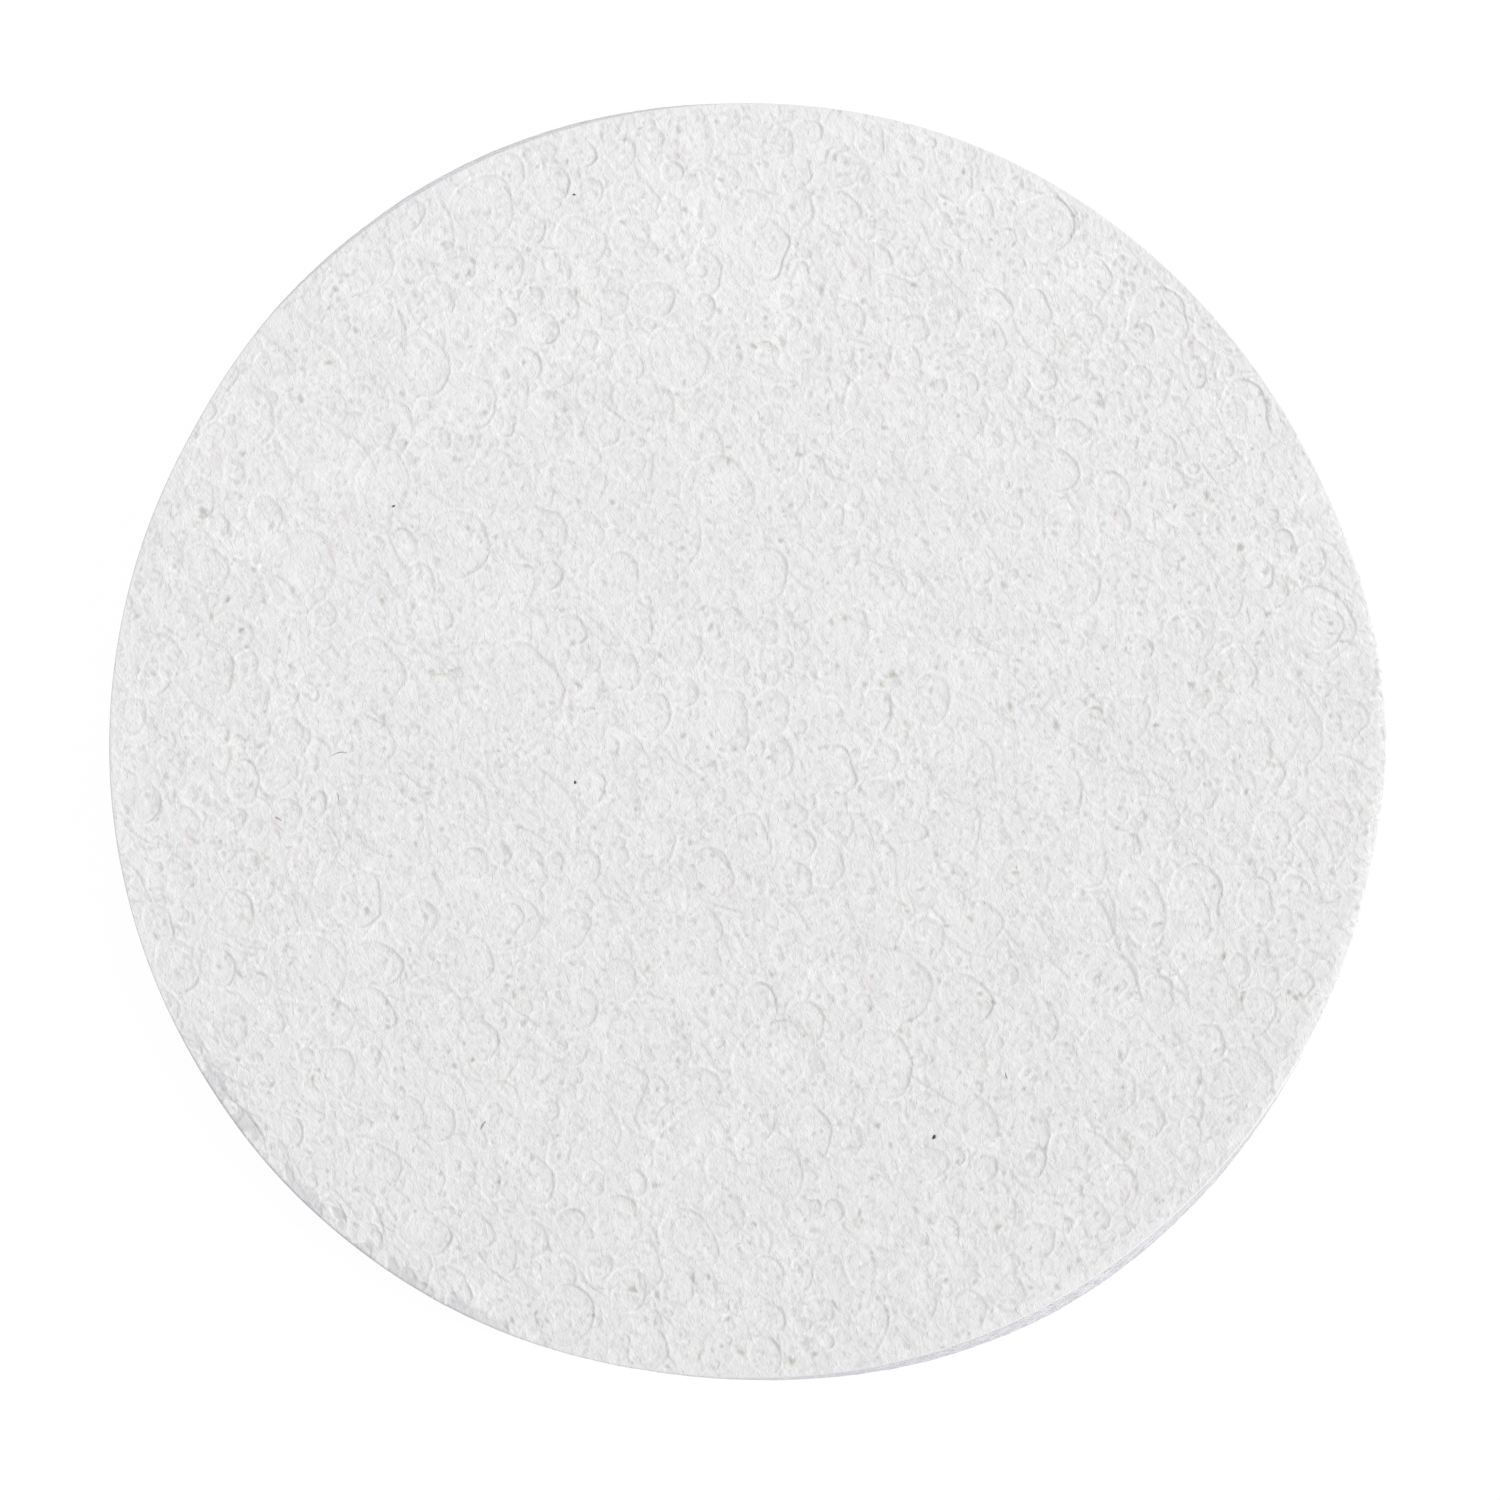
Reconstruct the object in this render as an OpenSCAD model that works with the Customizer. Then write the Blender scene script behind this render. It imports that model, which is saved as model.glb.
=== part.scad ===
// Konjac sponge: a flat disc of dried, pressed konjac foam, punched out with a round die.
// It lies on z = 0 with the Z axis through its centre. Seen from above in the photograph,
// right is +X and up is +Y.

/* [Disc] */
// Diameter across the base, where the cut wall is widest
disc_d = 80; // [50:1:110]
// Thickness of the dry, pressed disc
disc_h = 3; // [2:0.25:12]
// How far the cut wall leans in from the base to the upper rim
wall_lean = 0.4; // [0.1:0.05:1]
// Radius of the upper rim, where the die pulled the skin over
rim_round = 0.35; // [0.1:0.05:0.8]
// Radius of the lower rim
base_round = 0.15; // [0.05:0.05:0.4]

/* [Crushed edge] */
// Width of the crushed band, at its widest, seen from above
crush_w = 0.8; // [0.2:0.1:2]
// How far down the wall the crushed band reaches
crush_h = 0.7; // [0.2:0.1:1.2]
// Length of the crushed band along the rim
crush_len = 32; // [10:1:45]
// Direction of the crushed band's middle, in degrees from +X
crush_dir = 227; // [0:1:359]

/* [Bubble cells] */
// Width of the widest collapsed bubble cell
bubble_w = 5; // [3:0.25:7]
// Depth of a collapsed cell's floor below the face
bubble_depth = 0.16; // [0.06:0.02:0.3]
// Width of a deep open pit
pit_w = 1.2; // [0.5:0.1:2]
// Depth of a deep open pit
pit_depth = 0.4; // [0.1:0.05:0.6]
// Width of the smooth border that is kept between the cells and the rim
cell_border = 0.5; // [0.2:0.1:3]

/* [Plant matter] */
// Length of the largest fleck of plant skin
fleck_len = 0.34; // [0.2:0.02:0.8]
// Thickness of a fleck
fleck_h = 0.1; // [0.06:0.02:0.2]
// Bend radius of a plant hair
hair_bend_r = 0.9; // [0.5:0.1:2]
// Width of a plant hair
hair_w = 0.08; // [0.06:0.01:0.2]
// Thickness of a plant hair
hair_h = 0.08; // [0.06:0.01:0.15]
// Gap round a fleck or hair in the hollow that it lies in
trap_gap = 0.02; // [0.01:0.01:0.1]

/* [Hidden] */

base_r = disc_d / 2;
rim_r = base_r - wall_lean;
face_r = rim_r - rim_round;
// Steps in each rounded rim
rim_steps = 6;

// The ring that crushes the rim bites in on one side only, because its centre is set off
crush_half_angle = asin(crush_len / 2 / rim_r);
crush_offset = crush_w / (1 - cos(crush_half_angle));
crush_ring_r = rim_r + crush_offset - crush_w;

// Share of its depth by which a cutter rises above the face that it cuts
rise_share = 0.1;
// How far a cell's side runs inwards, as a share of its depth, and the most as a share of its width
side_run_share = 1.2;
side_run_limit_share = 0.35;
// Cells wider than this share of the widest one have a second step, whose shares follow
stepped_share = 0.6;
inner_w_share = 0.62;
inner_d_share = 1.5;
inner_place_share = [0.05, 0.06, 0];
// Least distance between two cells' centres, as a share of the sum of their radii
apart_share = 1.12;

// Centre of the disc, the radius of its face and the width of the widest cell in the photograph, in pixels
centre_px = [745, 743];
face_px = 630;
bubble_px = 79;

// Cells that stand out in the photograph: x and y of the middle and the width, in pixels
cells_px = [
    [1192, 913, 70], [1139, 905, 46], [1252, 902, 36], [1086, 915, 50], [923, 940, 44], [1212, 995, 54],
    [1298, 986, 26], [1106, 1089, 50], [1112, 1180, 40], [1034, 1241, 40], [715, 490, 74], [455, 545, 70],
    [520, 685, 78], [573, 628, 28], [762, 576, 54], [614, 578, 54], [890, 410, 78], [1245, 407, 58],
    [1318, 625, 56], [423, 1230, 50], [560, 1306, 62], [780, 1040, 66], [735, 1108, 58], [526, 362, 32],
    [502, 268, 44], [480, 209, 56], [577, 150, 30], [630, 186, 40], [574, 240, 48], [769, 234, 50],
    [677, 352, 60], [207, 664, 52], [368, 674, 70], [291, 741, 34], [285, 696, 26], [243, 792, 32],
    [319, 806, 26], [433, 612, 34], [843, 634, 48], [882, 713, 34], [775, 704, 36], [728, 732, 42],
    [655, 718, 36], [828, 774, 52], [593, 787, 30], [711, 879, 50], [797, 882, 30], [936, 690, 46],
    [652, 848, 42], [1002, 240, 32], [1064, 640, 50], [1010, 770, 44], [940, 500, 60], [330, 900, 60],
    [460, 1000, 64], [620, 1180, 56], [880, 1240, 60], [960, 840, 46], [300, 450, 52], [560, 960, 54],
];
// Deep open pits: x and y, in pixels
pits_px = [[1026, 1160], [815, 468], [1020, 242], [654, 1187], [1046, 1003], [900, 1030], [868, 890]];
// Flecks of plant skin: x and y in pixels, the share of the largest fleck's length, and the turn in degrees
flecks_px = [[934, 1137, 1, 60], [575, 782, 0.8, 100], [574, 193, 0.6, 0], [393, 505, 0.6, 20]];
// Plant hairs: x and y in pixels, the angle that the bend spans, and the turn in degrees
hairs_px = [
    [339, 752, 62, 100], [338, 796, 34, 10], [278, 818, 30, 60], [483, 1125, 40, 150], [1006, 1076, 26, 200],
];

// Each fleck's outline goes round its middle through these shares of its length
fleck_outline_shares = [[-0.5, -0.1], [-0.2, -0.3], [0.3, -0.25], [0.5, 0.05], [0.2, 0.3], [-0.3, 0.22]];

bubble_scale = bubble_w / bubble_px;
face_scale = face_r / face_px;

// Place of a photographed pixel, at a given size of pixel
function place(px, scale) = [(px[0] - centre_px[0]) * scale, (centre_px[1] - px[1]) * scale];

// A cell is [x, y, width, depth]
marked_cells = [for (c = cells_px) concat(place(c, bubble_scale), [c[2] * bubble_scale, bubble_depth])];
marked_pits = [for (c = pits_px) concat(place(c, bubble_scale), [pit_w, pit_depth])];
// Straight distance between the ends of a hair that spans a given angle
function hair_chord(span) = 2 * hair_bend_r * sin(span / 2);
// The places that the cells keep clear of, because plant matter lies there
trapped = [
    for (c = flecks_px) concat(place(c, face_scale), [2 * fleck_len, 0]),
    for (c = hairs_px) concat(place(c, face_scale), [hair_chord(c[2]) + 4 * hair_w, 0]),
];

function inside(c) = norm([c[0], c[1]]) + c[2] / 2 + cell_border < face_r;
function apart(a, b) = norm([a[0] - b[0], a[1] - b[1]]) > apart_share * (a[2] + b[2]) / 2;
function clear_of(c, others) = len([for (o = others) if (!apart(c, o)) o]) == 0;
// Keeps each candidate that lies inside the rim and clear of all that are kept before it
function scattered(tries, kept, i = 0) =
    i >= len(tries) ? kept
    : scattered(tries, inside(tries[i]) && clear_of(tries[i], kept) ? concat(kept, [tries[i]]) : kept, i + 1);
// Kept cells without the trapped places that they were kept clear of
function cells_only(cells) = [for (c = cells) if (c[3] > 0) c];

// Cells strewn over a face. The first tries are the widest, so that the small ones fill the gaps
tries_per_cell_area = 0.8;
tries = round(tries_per_cell_area * pow(2 * face_r / bubble_w, 2));
narrowest_share = 0.26;
least_depth_share = 0.6;
function strewn_cells(seed, widest_share) = let (at = rands(0, 1, 3 * tries, seed)) [
    for (i = [0 : tries - 1]) let (
        r = face_r * sqrt(at[3 * i]),
        a = 360 * at[3 * i + 1],
        wide_share = widest_share + (narrowest_share - widest_share) * i / tries,
        deep_share = least_depth_share + (1 - least_depth_share) * at[3 * i + 2]
    ) [r * cos(a), r * sin(a), bubble_w * wide_share, bubble_depth * deep_share]
];

upper_seed = 5;
upper_widest_share = 0.62;
lower_seed = 12;
lower_widest_share = 0.95;
upper_cells = cells_only(scattered(
    concat(marked_pits, marked_cells, strewn_cells(upper_seed, upper_widest_share)), trapped));
// The middle of the base stays flat over the width of one bubble
lower_cells = cells_only(scattered(strewn_cells(lower_seed, lower_widest_share), [[0, 0, bubble_w, 0]]));

// A flat-floored pan cut down from z = 0 with sloping sides: w is the width of its mouth and d its depth
module pan(w, d) {
    side_run = min(side_run_share * d, side_run_limit_share * w);
    translate([0, 0, -d])
        cylinder(r1 = w / 2 - side_run, r2 = w / 2 + rise_share * side_run, h = (1 + rise_share) * d);
}

// A collapsed cell: a pan, and in its floor a smaller and deeper one, set a little aside
module cell(w, d) {
    pan(w, d);
    if (w > stepped_share * bubble_w)
        translate(inner_place_share * w) pan(inner_w_share * w, inner_d_share * d);
}

// Half of the disc's section: a leaning wall between two rounded rims
module half_section() {
    lower = [for (i = [0 : rim_steps]) let (a = -90 + 90 * i / rim_steps)
        [base_r - base_round + base_round * cos(a), base_round + base_round * sin(a)]];
    upper = [for (i = [0 : rim_steps]) let (a = 90 * i / rim_steps)
        [face_r + rim_round * cos(a), disc_h - rim_round + rim_round * sin(a)]];
    polygon(concat([[0, 0]], lower, upper, [[0, disc_h]]));
}

// What the crushed band takes off the upper rim
module crush_cutter() {
    band_h = crush_h * (1 + rise_share);
    band_w = crush_w + wall_lean;
    rotate(crush_dir) translate([-crush_offset, 0, disc_h - crush_h]) difference() {
        cylinder(r = crush_ring_r + disc_d, h = band_h);
        cylinder(r1 = crush_ring_r + band_w, r2 = crush_ring_r - rise_share * band_w, h = band_h);
    }
}

// The flecks, each with half of its thickness below the face
module flecks(h, grow = 0) {
    for (c = flecks_px) translate(concat(place(c, face_scale), [disc_h - fleck_h / 2])) rotate(c[3])
        linear_extrude(h) polygon([for (s = fleck_outline_shares) s * (c[2] * fleck_len + 2 * grow)]);
}

// The hairs, each an even bend with half of its thickness below the face
module hairs(h, grow = 0) {
    end_angle = asin(grow / hair_bend_r);
    for (c = hairs_px) translate(concat(place(c, face_scale), [disc_h - hair_h / 2])) rotate(c[3])
        translate([-hair_bend_r, 0, 0]) rotate(-c[2] / 2 - end_angle)
            rotate_extrude(angle = c[2] + 2 * end_angle, $fn = 90)
                translate([hair_bend_r - hair_w / 2 - grow, 0]) square([hair_w + 2 * grow, h]);
}

module sponge_disc() {
    color("whitesmoke") difference() {
        rotate_extrude($fn = 180) half_section();
        crush_cutter();
        for (c = upper_cells) translate([c[0], c[1], disc_h]) cell(c[2], c[3]);
        for (c = lower_cells) mirror([0, 0, 1]) translate([c[0], c[1], 0]) cell(c[2], c[3]);
        flecks((1 / 2 + rise_share) * fleck_h, trap_gap);
        hairs((1 / 2 + rise_share) * hair_h, trap_gap);
    }
}

module skin_flecks() {
    color("dimgray") flecks(fleck_h);
}

module plant_hairs() {
    color("gray") hairs(hair_h);
}

sponge_disc();
skin_flecks();
plant_hairs();
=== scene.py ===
import math

import bmesh
import bpy
import numpy as np
from mathutils import Matrix, Vector, noise


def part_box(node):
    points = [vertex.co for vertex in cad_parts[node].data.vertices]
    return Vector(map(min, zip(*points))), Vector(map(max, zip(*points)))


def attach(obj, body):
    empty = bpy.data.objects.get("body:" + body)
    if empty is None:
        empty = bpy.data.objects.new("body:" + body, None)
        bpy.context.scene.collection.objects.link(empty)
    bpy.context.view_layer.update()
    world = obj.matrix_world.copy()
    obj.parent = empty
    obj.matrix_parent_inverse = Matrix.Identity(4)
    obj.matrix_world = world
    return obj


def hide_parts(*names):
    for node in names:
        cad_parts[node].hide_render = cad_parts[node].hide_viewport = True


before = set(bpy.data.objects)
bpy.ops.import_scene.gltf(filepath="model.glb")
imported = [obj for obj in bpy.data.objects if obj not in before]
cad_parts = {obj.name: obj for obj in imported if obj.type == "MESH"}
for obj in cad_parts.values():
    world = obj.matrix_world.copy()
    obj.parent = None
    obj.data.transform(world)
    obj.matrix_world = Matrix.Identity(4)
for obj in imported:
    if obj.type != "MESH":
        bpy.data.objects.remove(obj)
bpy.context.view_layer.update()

# The disc's sizes, in metres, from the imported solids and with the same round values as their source
MM = 0.001
disc_low, disc_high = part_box("sponge_disc")
BASE_R = (disc_high[0] - disc_low[0]) / 2
THICK = 3.0 * MM
WALL_LEAN = 0.4 * MM
BASE_ROUND = 0.15 * MM
RIM_R = BASE_R - WALL_LEAN

# The photograph's frame, and where the upper rim lies in it, in its pixels
FRAME_PX = 1500
CENTRE_PX = (745.0, 743.0)
RIM_PX = 636.5
PX = RIM_R / RIM_PX

# How fine the relief is drawn, and how many steps the skin's mesh has across each face and down the wall
RELIEF_STEP = 0.05 * MM
RELIEF_MARGIN = 0.5 * MM
FACE_STEPS = 760
BASE_STEPS = 380
RIM_ROWS = 4
SIDE_ROWS = 13
BASE_ROWS = 2
WALL_ROWS = RIM_ROWS + SIDE_ROWS + BASE_ROWS

# Where the random draws start: each face's relief and tangle, the crushed rim and patches, and the wall
UPPER_SEED, LOWER_SEED = 7, 23
UPPER_TANGLE_SEED, LOWER_TANGLE_SEED = 11, 17
PATCH_SEED = 5
WALL_SEED = 41

# How far below its surroundings a place has to lie to be at its darkest painted shade, or above them at its
# palest painted highlight
CAVITY_SHADE_DEPTH = 0.025 * MM
# How much of its painted highlight a raised place keeps
RAISED_HIGHLIGHT_SHARE = 0.75
# How much the tangle's fibres add to the painted highlight and shade
FIBRE_PAINTED_LIGHT = 0.7
# How many steps of the relief each side of a place count as its surroundings
CAVITY_STEPS = 4

# The marks on the disc's points that its finish reads: painted light and shade with the foam's tone, painted
# shade in crevices, dirt, blush and where the wall is
MARKS = ("painted_light_and_tone", "crevice_shade", "stain", "blush", "wall")

# How far the foam is bent out of shape, over lumps of each size, in millimetres, and the room that this
# needs round a cell
BENDS = [(2.5, 0.16), (1.1, 0.11), (0.5, 0.04)]
BEND_REACH = 0.2 * MM

# How high a collapsed cell's wrinkles and its rim stand, and how deep a wide open crevice is
WRINKLE_RISE = 0.012 * MM
RIM_RISE = 0.016 * MM
CREVICE_DEPTH = 0.035 * MM
# How deep the marked cells, pits and creases are
CELL_DEPTH = 0.026 * MM
PIT_DEPTH = 0.025 * MM
CREASE_DEPTH = 0.02 * MM
# How deep the crushed rim's open cells are, and how far the smooth skin reaches in from the rim
OPEN_DEPTH = 0.07 * MM
SMOOTH_REACH = 0.4 * MM

# The side on which the press pushed most cells shut, in degrees from +X
SHUT_SIDE = 15


def from_photo(x, y):
    """The place on the face, in metres, of a pixel of the photograph."""
    return (x - CENTRE_PX[0]) * PX, (CENTRE_PX[1] - y) * PX


def smooth_step(low, high, value):
    t = np.clip((value - low) / (high - low), 0, 1)
    return t * t * (3 - 2 * t)


def hump(value, width):
    """1 at zero, falling off over the given width."""
    return np.exp(-((value / width) ** 2))


def turned_from(degrees, at):
    """How far a direction lies from another one, in degrees from -180 to 180."""
    return (degrees - at + 180) % 360 - 180


def along_across(x, y, degrees):
    """A place's coordinates along a direction and across it."""
    c, s = math.cos(math.radians(degrees)), math.sin(math.radians(degrees))
    return x * c + y * s, y * c - x * s


def between(values, i, j, after, down, across):
    """A grid's values between its rows i and i + 1 and its columns j and after, at shares down and across."""
    near = values[i, j] * (1 - across) + values[i, after] * across
    far = values[i + 1, j] * (1 - across) + values[i + 1, after] * across
    return near * (1 - down) + far * down


# Cells that stand out in the photograph: x and y of the middle, the longer and the shorter width, all in
# pixels, the turn of the longer one in degrees and how open the shut side's crevice is, from 0 to 1
MARKED_CELLS = [
    # Lower right
    (1193, 913, 90, 62, 92, 0.8), (1190, 916, 66, 42, 95, 0.1), (1140, 905, 72, 46, 95, 0.8),
    (1254, 902, 54, 36, 98, 0.6), (1090, 915, 68, 46, 125, 0.5), (1206, 992, 74, 56, 135, 0.5),
    (1299, 986, 36, 30, 60, 0.5), (1270, 977, 28, 19, 95, 0.5), (1157, 996, 42, 34, 110, 0.5),
    (1202, 1046, 46, 40, 110, 0.5), (1247, 1074, 62, 44, 110, 0.4), (1106, 1041, 52, 48, 90, 0.3),
    (1110, 1090, 56, 52, 90, 0.3), (1064, 1053, 32, 28, 90, 0.2), (1181, 1078, 42, 36, 100, 0.2),
    (1131, 845, 27, 18, 120, 0.8), (1246, 865, 30, 22, 90, 0.3), (1205, 860, 20, 17, 90, 0.2),
    (1297, 895, 44, 30, 90, 0.3), (1237, 970, 28, 24, 90, 0.1), (1271, 835, 48, 42, 110, 0.6),
    (1082, 858, 60, 46, 115, 0.4), (923, 940, 50, 42, 90, 0.5), (1112, 1183, 44, 38, 90, 0.4),
    (1034, 1241, 44, 38, 60, 0.4), (1045, 1028, 32, 28, 60, 0.5),
    # Middle
    (637, 625, 38, 32, 90, 0.3), (682, 645, 60, 45, 95, 0.4), (620, 670, 45, 38, 90, 0.3),
    (650, 682, 25, 18, 90, 0.3), (650, 717, 45, 43, 90, 0.4), (726, 722, 62, 48, 95, 0.5),
    (772, 712, 52, 38, 95, 0.4), (845, 635, 62, 50, 100, 0.4), (877, 712, 45, 35, 95, 0.5),
    (830, 772, 56, 52, 70, 0.8), (877, 795, 36, 34, 90, 0.4), (840, 825, 35, 30, 90, 0.3),
    (827, 865, 42, 38, 90, 0.3), (797, 880, 38, 32, 90, 0.4), (707, 877, 56, 50, 100, 0.4),
    (652, 847, 52, 50, 90, 0.3), (747, 840, 50, 48, 90, 0.3), (652, 882, 36, 30, 0, 0.3),
    (730, 622, 30, 26, 0, 0.4), (705, 622, 32, 30, 90, 0.4), (795, 635, 36, 30, 0, 0.3),
    (732, 665, 35, 30, 0, 0.3), (790, 815, 34, 28, 0, 0.3), (593, 787, 40, 24, 90, 0.6),
    (882, 760, 34, 32, 90, 0.3), (762, 576, 60, 54, 110, 0.4), (614, 580, 56, 52, 90, 0.4),
    (573, 630, 32, 28, 90, 0.8), (715, 490, 76, 70, 90, 0.3), (815, 470, 32, 26, 110, 0.8),
    # Upper left
    (480, 211, 72, 68, 100, 0.4), (547, 182, 42, 38, 90, 0.3), (577, 149, 38, 30, 0, 0.7),
    (586, 192, 38, 34, 60, 0.4), (636, 198, 54, 42, 140, 0.7), (651, 135, 24, 22, 90, 0.7),
    (671, 168, 24, 20, 120, 0.6), (728, 178, 34, 26, 95, 0.3), (630, 236, 46, 38, 90, 0.3),
    (580, 240, 56, 48, 110, 0.4), (500, 268, 52, 45, 90, 0.3), (457, 266, 38, 31, 95, 0.3),
    (564, 301, 36, 28, 120, 0.6), (610, 302, 36, 30, 0, 0.5), (654, 296, 43, 36, 0, 0.3),
    (677, 357, 66, 58, 140, 0.4), (728, 353, 42, 30, 110, 0.3), (524, 362, 37, 35, 90, 0.9),
    (560, 371, 34, 31, 90, 0.5), (578, 339, 40, 28, 0, 0.2), (631, 361, 34, 28, 90, 0.4),
    (533, 224, 34, 23, 105, 0.6), (532, 297, 26, 24, 90, 0.3), (507, 318, 22, 18, 130, 0.6),
    (459, 329, 22, 16, 100, 0.7), (446, 303, 24, 16, 95, 0.6), (670, 210, 36, 24, 90, 0.4),
    (704, 228, 24, 20, 0, 0.4), (703, 306, 30, 24, 120, 0.4), (650, 323, 15, 14, 0, 0.7),
    (472, 400, 56, 50, 100, 0.4), (417, 362, 70, 58, 100, 0.4), (410, 211, 34, 31, 90, 0.3),
    (435, 296, 38, 34, 90, 0.3), (547, 401, 36, 30, 0, 0.2), (455, 545, 74, 66, 60, 0.4),
    (433, 616, 42, 36, 90, 0.3), (520, 685, 88, 80, 100, 0.4), (368, 674, 80, 70, 90, 0.3),
    (292, 741, 36, 33, 90, 0.4), (285, 696, 30, 27, 90, 0.4), (243, 792, 32, 30, 90, 0.4),
    (319, 806, 26, 22, 90, 0.4), (206, 668, 60, 54, 90, 0.4), (145, 806, 32, 26, 90, 0.4),
    # Upper right
    (764, 247, 62, 54, 100, 0.7), (798, 209, 50, 38, 105, 0.4), (806, 131, 30, 25, 0, 0.4),
    (780, 141, 38, 25, 90, 0.3), (869, 139, 38, 30, 105, 0.6), (904, 141, 28, 18, 150, 0.4),
    (914, 167, 26, 24, 90, 0.4), (929, 142, 17, 12, 0, 0.8), (981, 208, 32, 30, 120, 0.5),
    (1003, 241, 27, 24, 90, 1.0), (971, 241, 37, 22, 105, 0.6), (870, 230, 22, 19, 90, 0.4),
    (879, 254, 34, 24, 160, 0.3), (801, 271, 19, 18, 90, 0.7), (841, 319, 52, 44, 0, 0.4),
    (782, 300, 30, 20, 0, 0.2), (769, 354, 25, 21, 120, 0.6), (804, 347, 38, 34, 90, 0.3),
    (845, 355, 26, 24, 90, 0.3), (905, 330, 46, 31, 0, 0.5), (908, 358, 32, 28, 120, 0.6),
    (942, 316, 42, 35, 100, 0.3), (981, 335, 50, 42, 130, 0.4), (994, 308, 42, 34, 110, 0.7),
    (912, 264, 30, 24, 0, 0.3), (969, 383, 26, 21, 110, 0.7), (791, 385, 18, 13, 150, 0.7),
    (935, 389, 26, 24, 90, 0.3), (941, 221, 23, 19, 0, 0.4), (1042, 225, 68, 58, 0, 0.7),
    (1094, 278, 42, 33, 95, 0.6), (1036, 306, 41, 32, 100, 0.6), (1157, 321, 70, 66, 90, 0.4),
    (1140, 335, 29, 28, 90, 0.5), (1113, 305, 25, 21, 90, 0.4), (1198, 373, 28, 18, 95, 0.8),
    (1246, 414, 72, 50, 95, 0.9), (1237, 416, 44, 24, 100, 0.2), (1139, 380, 32, 27, 90, 0.5),
    (1037, 368, 42, 32, 120, 0.6), (1096, 402, 26, 15, 100, 0.8), (1077, 376, 34, 24, 0, 0.3),
    (1043, 467, 66, 54, 160, 0.5), (1075, 432, 32, 28, 110, 0.5), (1122, 419, 18, 16, 90, 0.6),
    (1133, 442, 20, 11, 95, 0.8), (1159, 453, 38, 34, 110, 0.4), (1113, 490, 36, 32, 100, 0.5),
    (1192, 469, 15, 13, 0, 0.6), (890, 410, 84, 76, 0, 0.2),
    # Lower left and bottom
    (423, 1230, 58, 44, 150, 0.9), (335, 1070, 52, 44, 90, 0.3), (375, 1170, 56, 50, 90, 0.4),
    (478, 1230, 44, 28, 110, 0.7), (490, 1180, 36, 20, 95, 0.5), (532, 1178, 60, 44, 110, 0.6),
    (290, 1130, 34, 26, 120, 0.7), (310, 1180, 22, 16, 90, 0.6), (370, 1238, 30, 22, 110, 0.6),
    (405, 1115, 44, 40, 90, 0.4), (437, 1120, 44, 38, 110, 0.3), (560, 1155, 30, 24, 90, 0.6),
    (415, 1270, 46, 34, 90, 0.3), (450, 1290, 56, 40, 130, 0.3), (505, 1255, 40, 24, 100, 0.5),
    (530, 1240, 44, 36, 90, 0.3), (480, 1040, 40, 34, 90, 0.3), (570, 1222, 32, 26, 90, 0.5),
    (592, 1182, 30, 24, 90, 0.5), (632, 1182, 36, 26, 100, 0.6), (618, 1225, 60, 50, 120, 0.4),
    (645, 1238, 36, 30, 100, 0.3), (640, 1265, 56, 46, 90, 0.5), (625, 1290, 48, 40, 60, 0.5),
    (570, 1315, 64, 50, 100, 0.7), (618, 1345, 26, 24, 90, 0.5), (650, 1350, 44, 36, 90, 0.6),
    (652, 1320, 24, 20, 90, 0.7), (690, 1240, 70, 50, 140, 0.8), (690, 1155, 90, 76, 90, 0.2),
    (722, 1170, 50, 34, 100, 0.6), (780, 1172, 56, 50, 90, 0.4), (808, 1128, 62, 42, 115, 0.8),
    (830, 1215, 32, 24, 90, 0.7), (810, 1210, 24, 20, 90, 0.4), (725, 1215, 50, 42, 90, 0.4),
    (767, 1275, 40, 36, 90, 0.4), (832, 1270, 30, 26, 90, 0.4), (860, 1265, 46, 30, 100, 0.5),
    (770, 1315, 42, 28, 120, 0.5), (763, 1355, 42, 30, 110, 0.8), (822, 1340, 24, 22, 90, 0.5),
    (600, 1265, 30, 26, 90, 0.4), (975, 1120, 56, 42, 110, 0.5), (1028, 1130, 54, 46, 110, 0.3),
    (1028, 1160, 40, 32, 120, 0.6), (925, 1165, 46, 36, 0, 0.4), (985, 1168, 32, 24, 60, 0.6),
    (1187, 1110, 36, 32, 90, 0.3), (1187, 1162, 38, 24, 90, 0.4), (1190, 1130, 32, 22, 100, 0.7),
    (1070, 1155, 50, 40, 120, 0.3), (1120, 1190, 40, 34, 90, 0.4), (1088, 1212, 44, 30, 150, 0.6),
    (1120, 1225, 26, 24, 90, 0.3), (1060, 1222, 26, 20, 120, 0.5), (948, 1236, 42, 26, 90, 0.6),
    (970, 1310, 40, 34, 90, 0.4), (1008, 1290, 40, 34, 150, 0.4), (925, 1305, 34, 28, 90, 0.4),
    # Left
    (268, 474, 50, 46, 90, 0.5), (232, 470, 34, 22, 90, 0.4), (383, 482, 68, 56, 90, 0.4),
    (218, 523, 26, 22, 90, 0.8), (265, 515, 40, 36, 90, 0.3), (205, 565, 50, 40, 120, 0.3),
    (170, 560, 34, 28, 90, 0.3), (405, 545, 36, 22, 110, 0.8), (298, 570, 88, 72, 90, 0.1),
    (307, 690, 30, 18, 110, 0.6), (285, 737, 36, 34, 90, 0.5), (220, 732, 26, 22, 90, 0.3),
    (152, 680, 34, 32, 90, 0.5), (130, 715, 40, 36, 90, 0.2), (172, 770, 42, 28, 110, 0.6),
    (143, 802, 40, 32, 90, 0.8), (243, 782, 44, 36, 100, 0.7), (316, 808, 34, 24, 90, 0.9),
    (285, 818, 36, 34, 90, 0.4), (185, 822, 40, 26, 110, 0.4), (335, 895, 68, 50, 100, 0.4),
    (358, 900, 56, 52, 90, 0.5), (158, 925, 42, 32, 95, 0.9), (262, 885, 34, 28, 90, 0.5),
    (232, 915, 50, 44, 90, 0.3), (177, 965, 60, 44, 100, 0.7), (215, 965, 56, 42, 100, 0.7),
    (303, 968, 84, 74, 0, 0.3), (370, 965, 58, 52, 0, 0.6), (256, 985, 40, 32, 90, 0.3),
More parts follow.
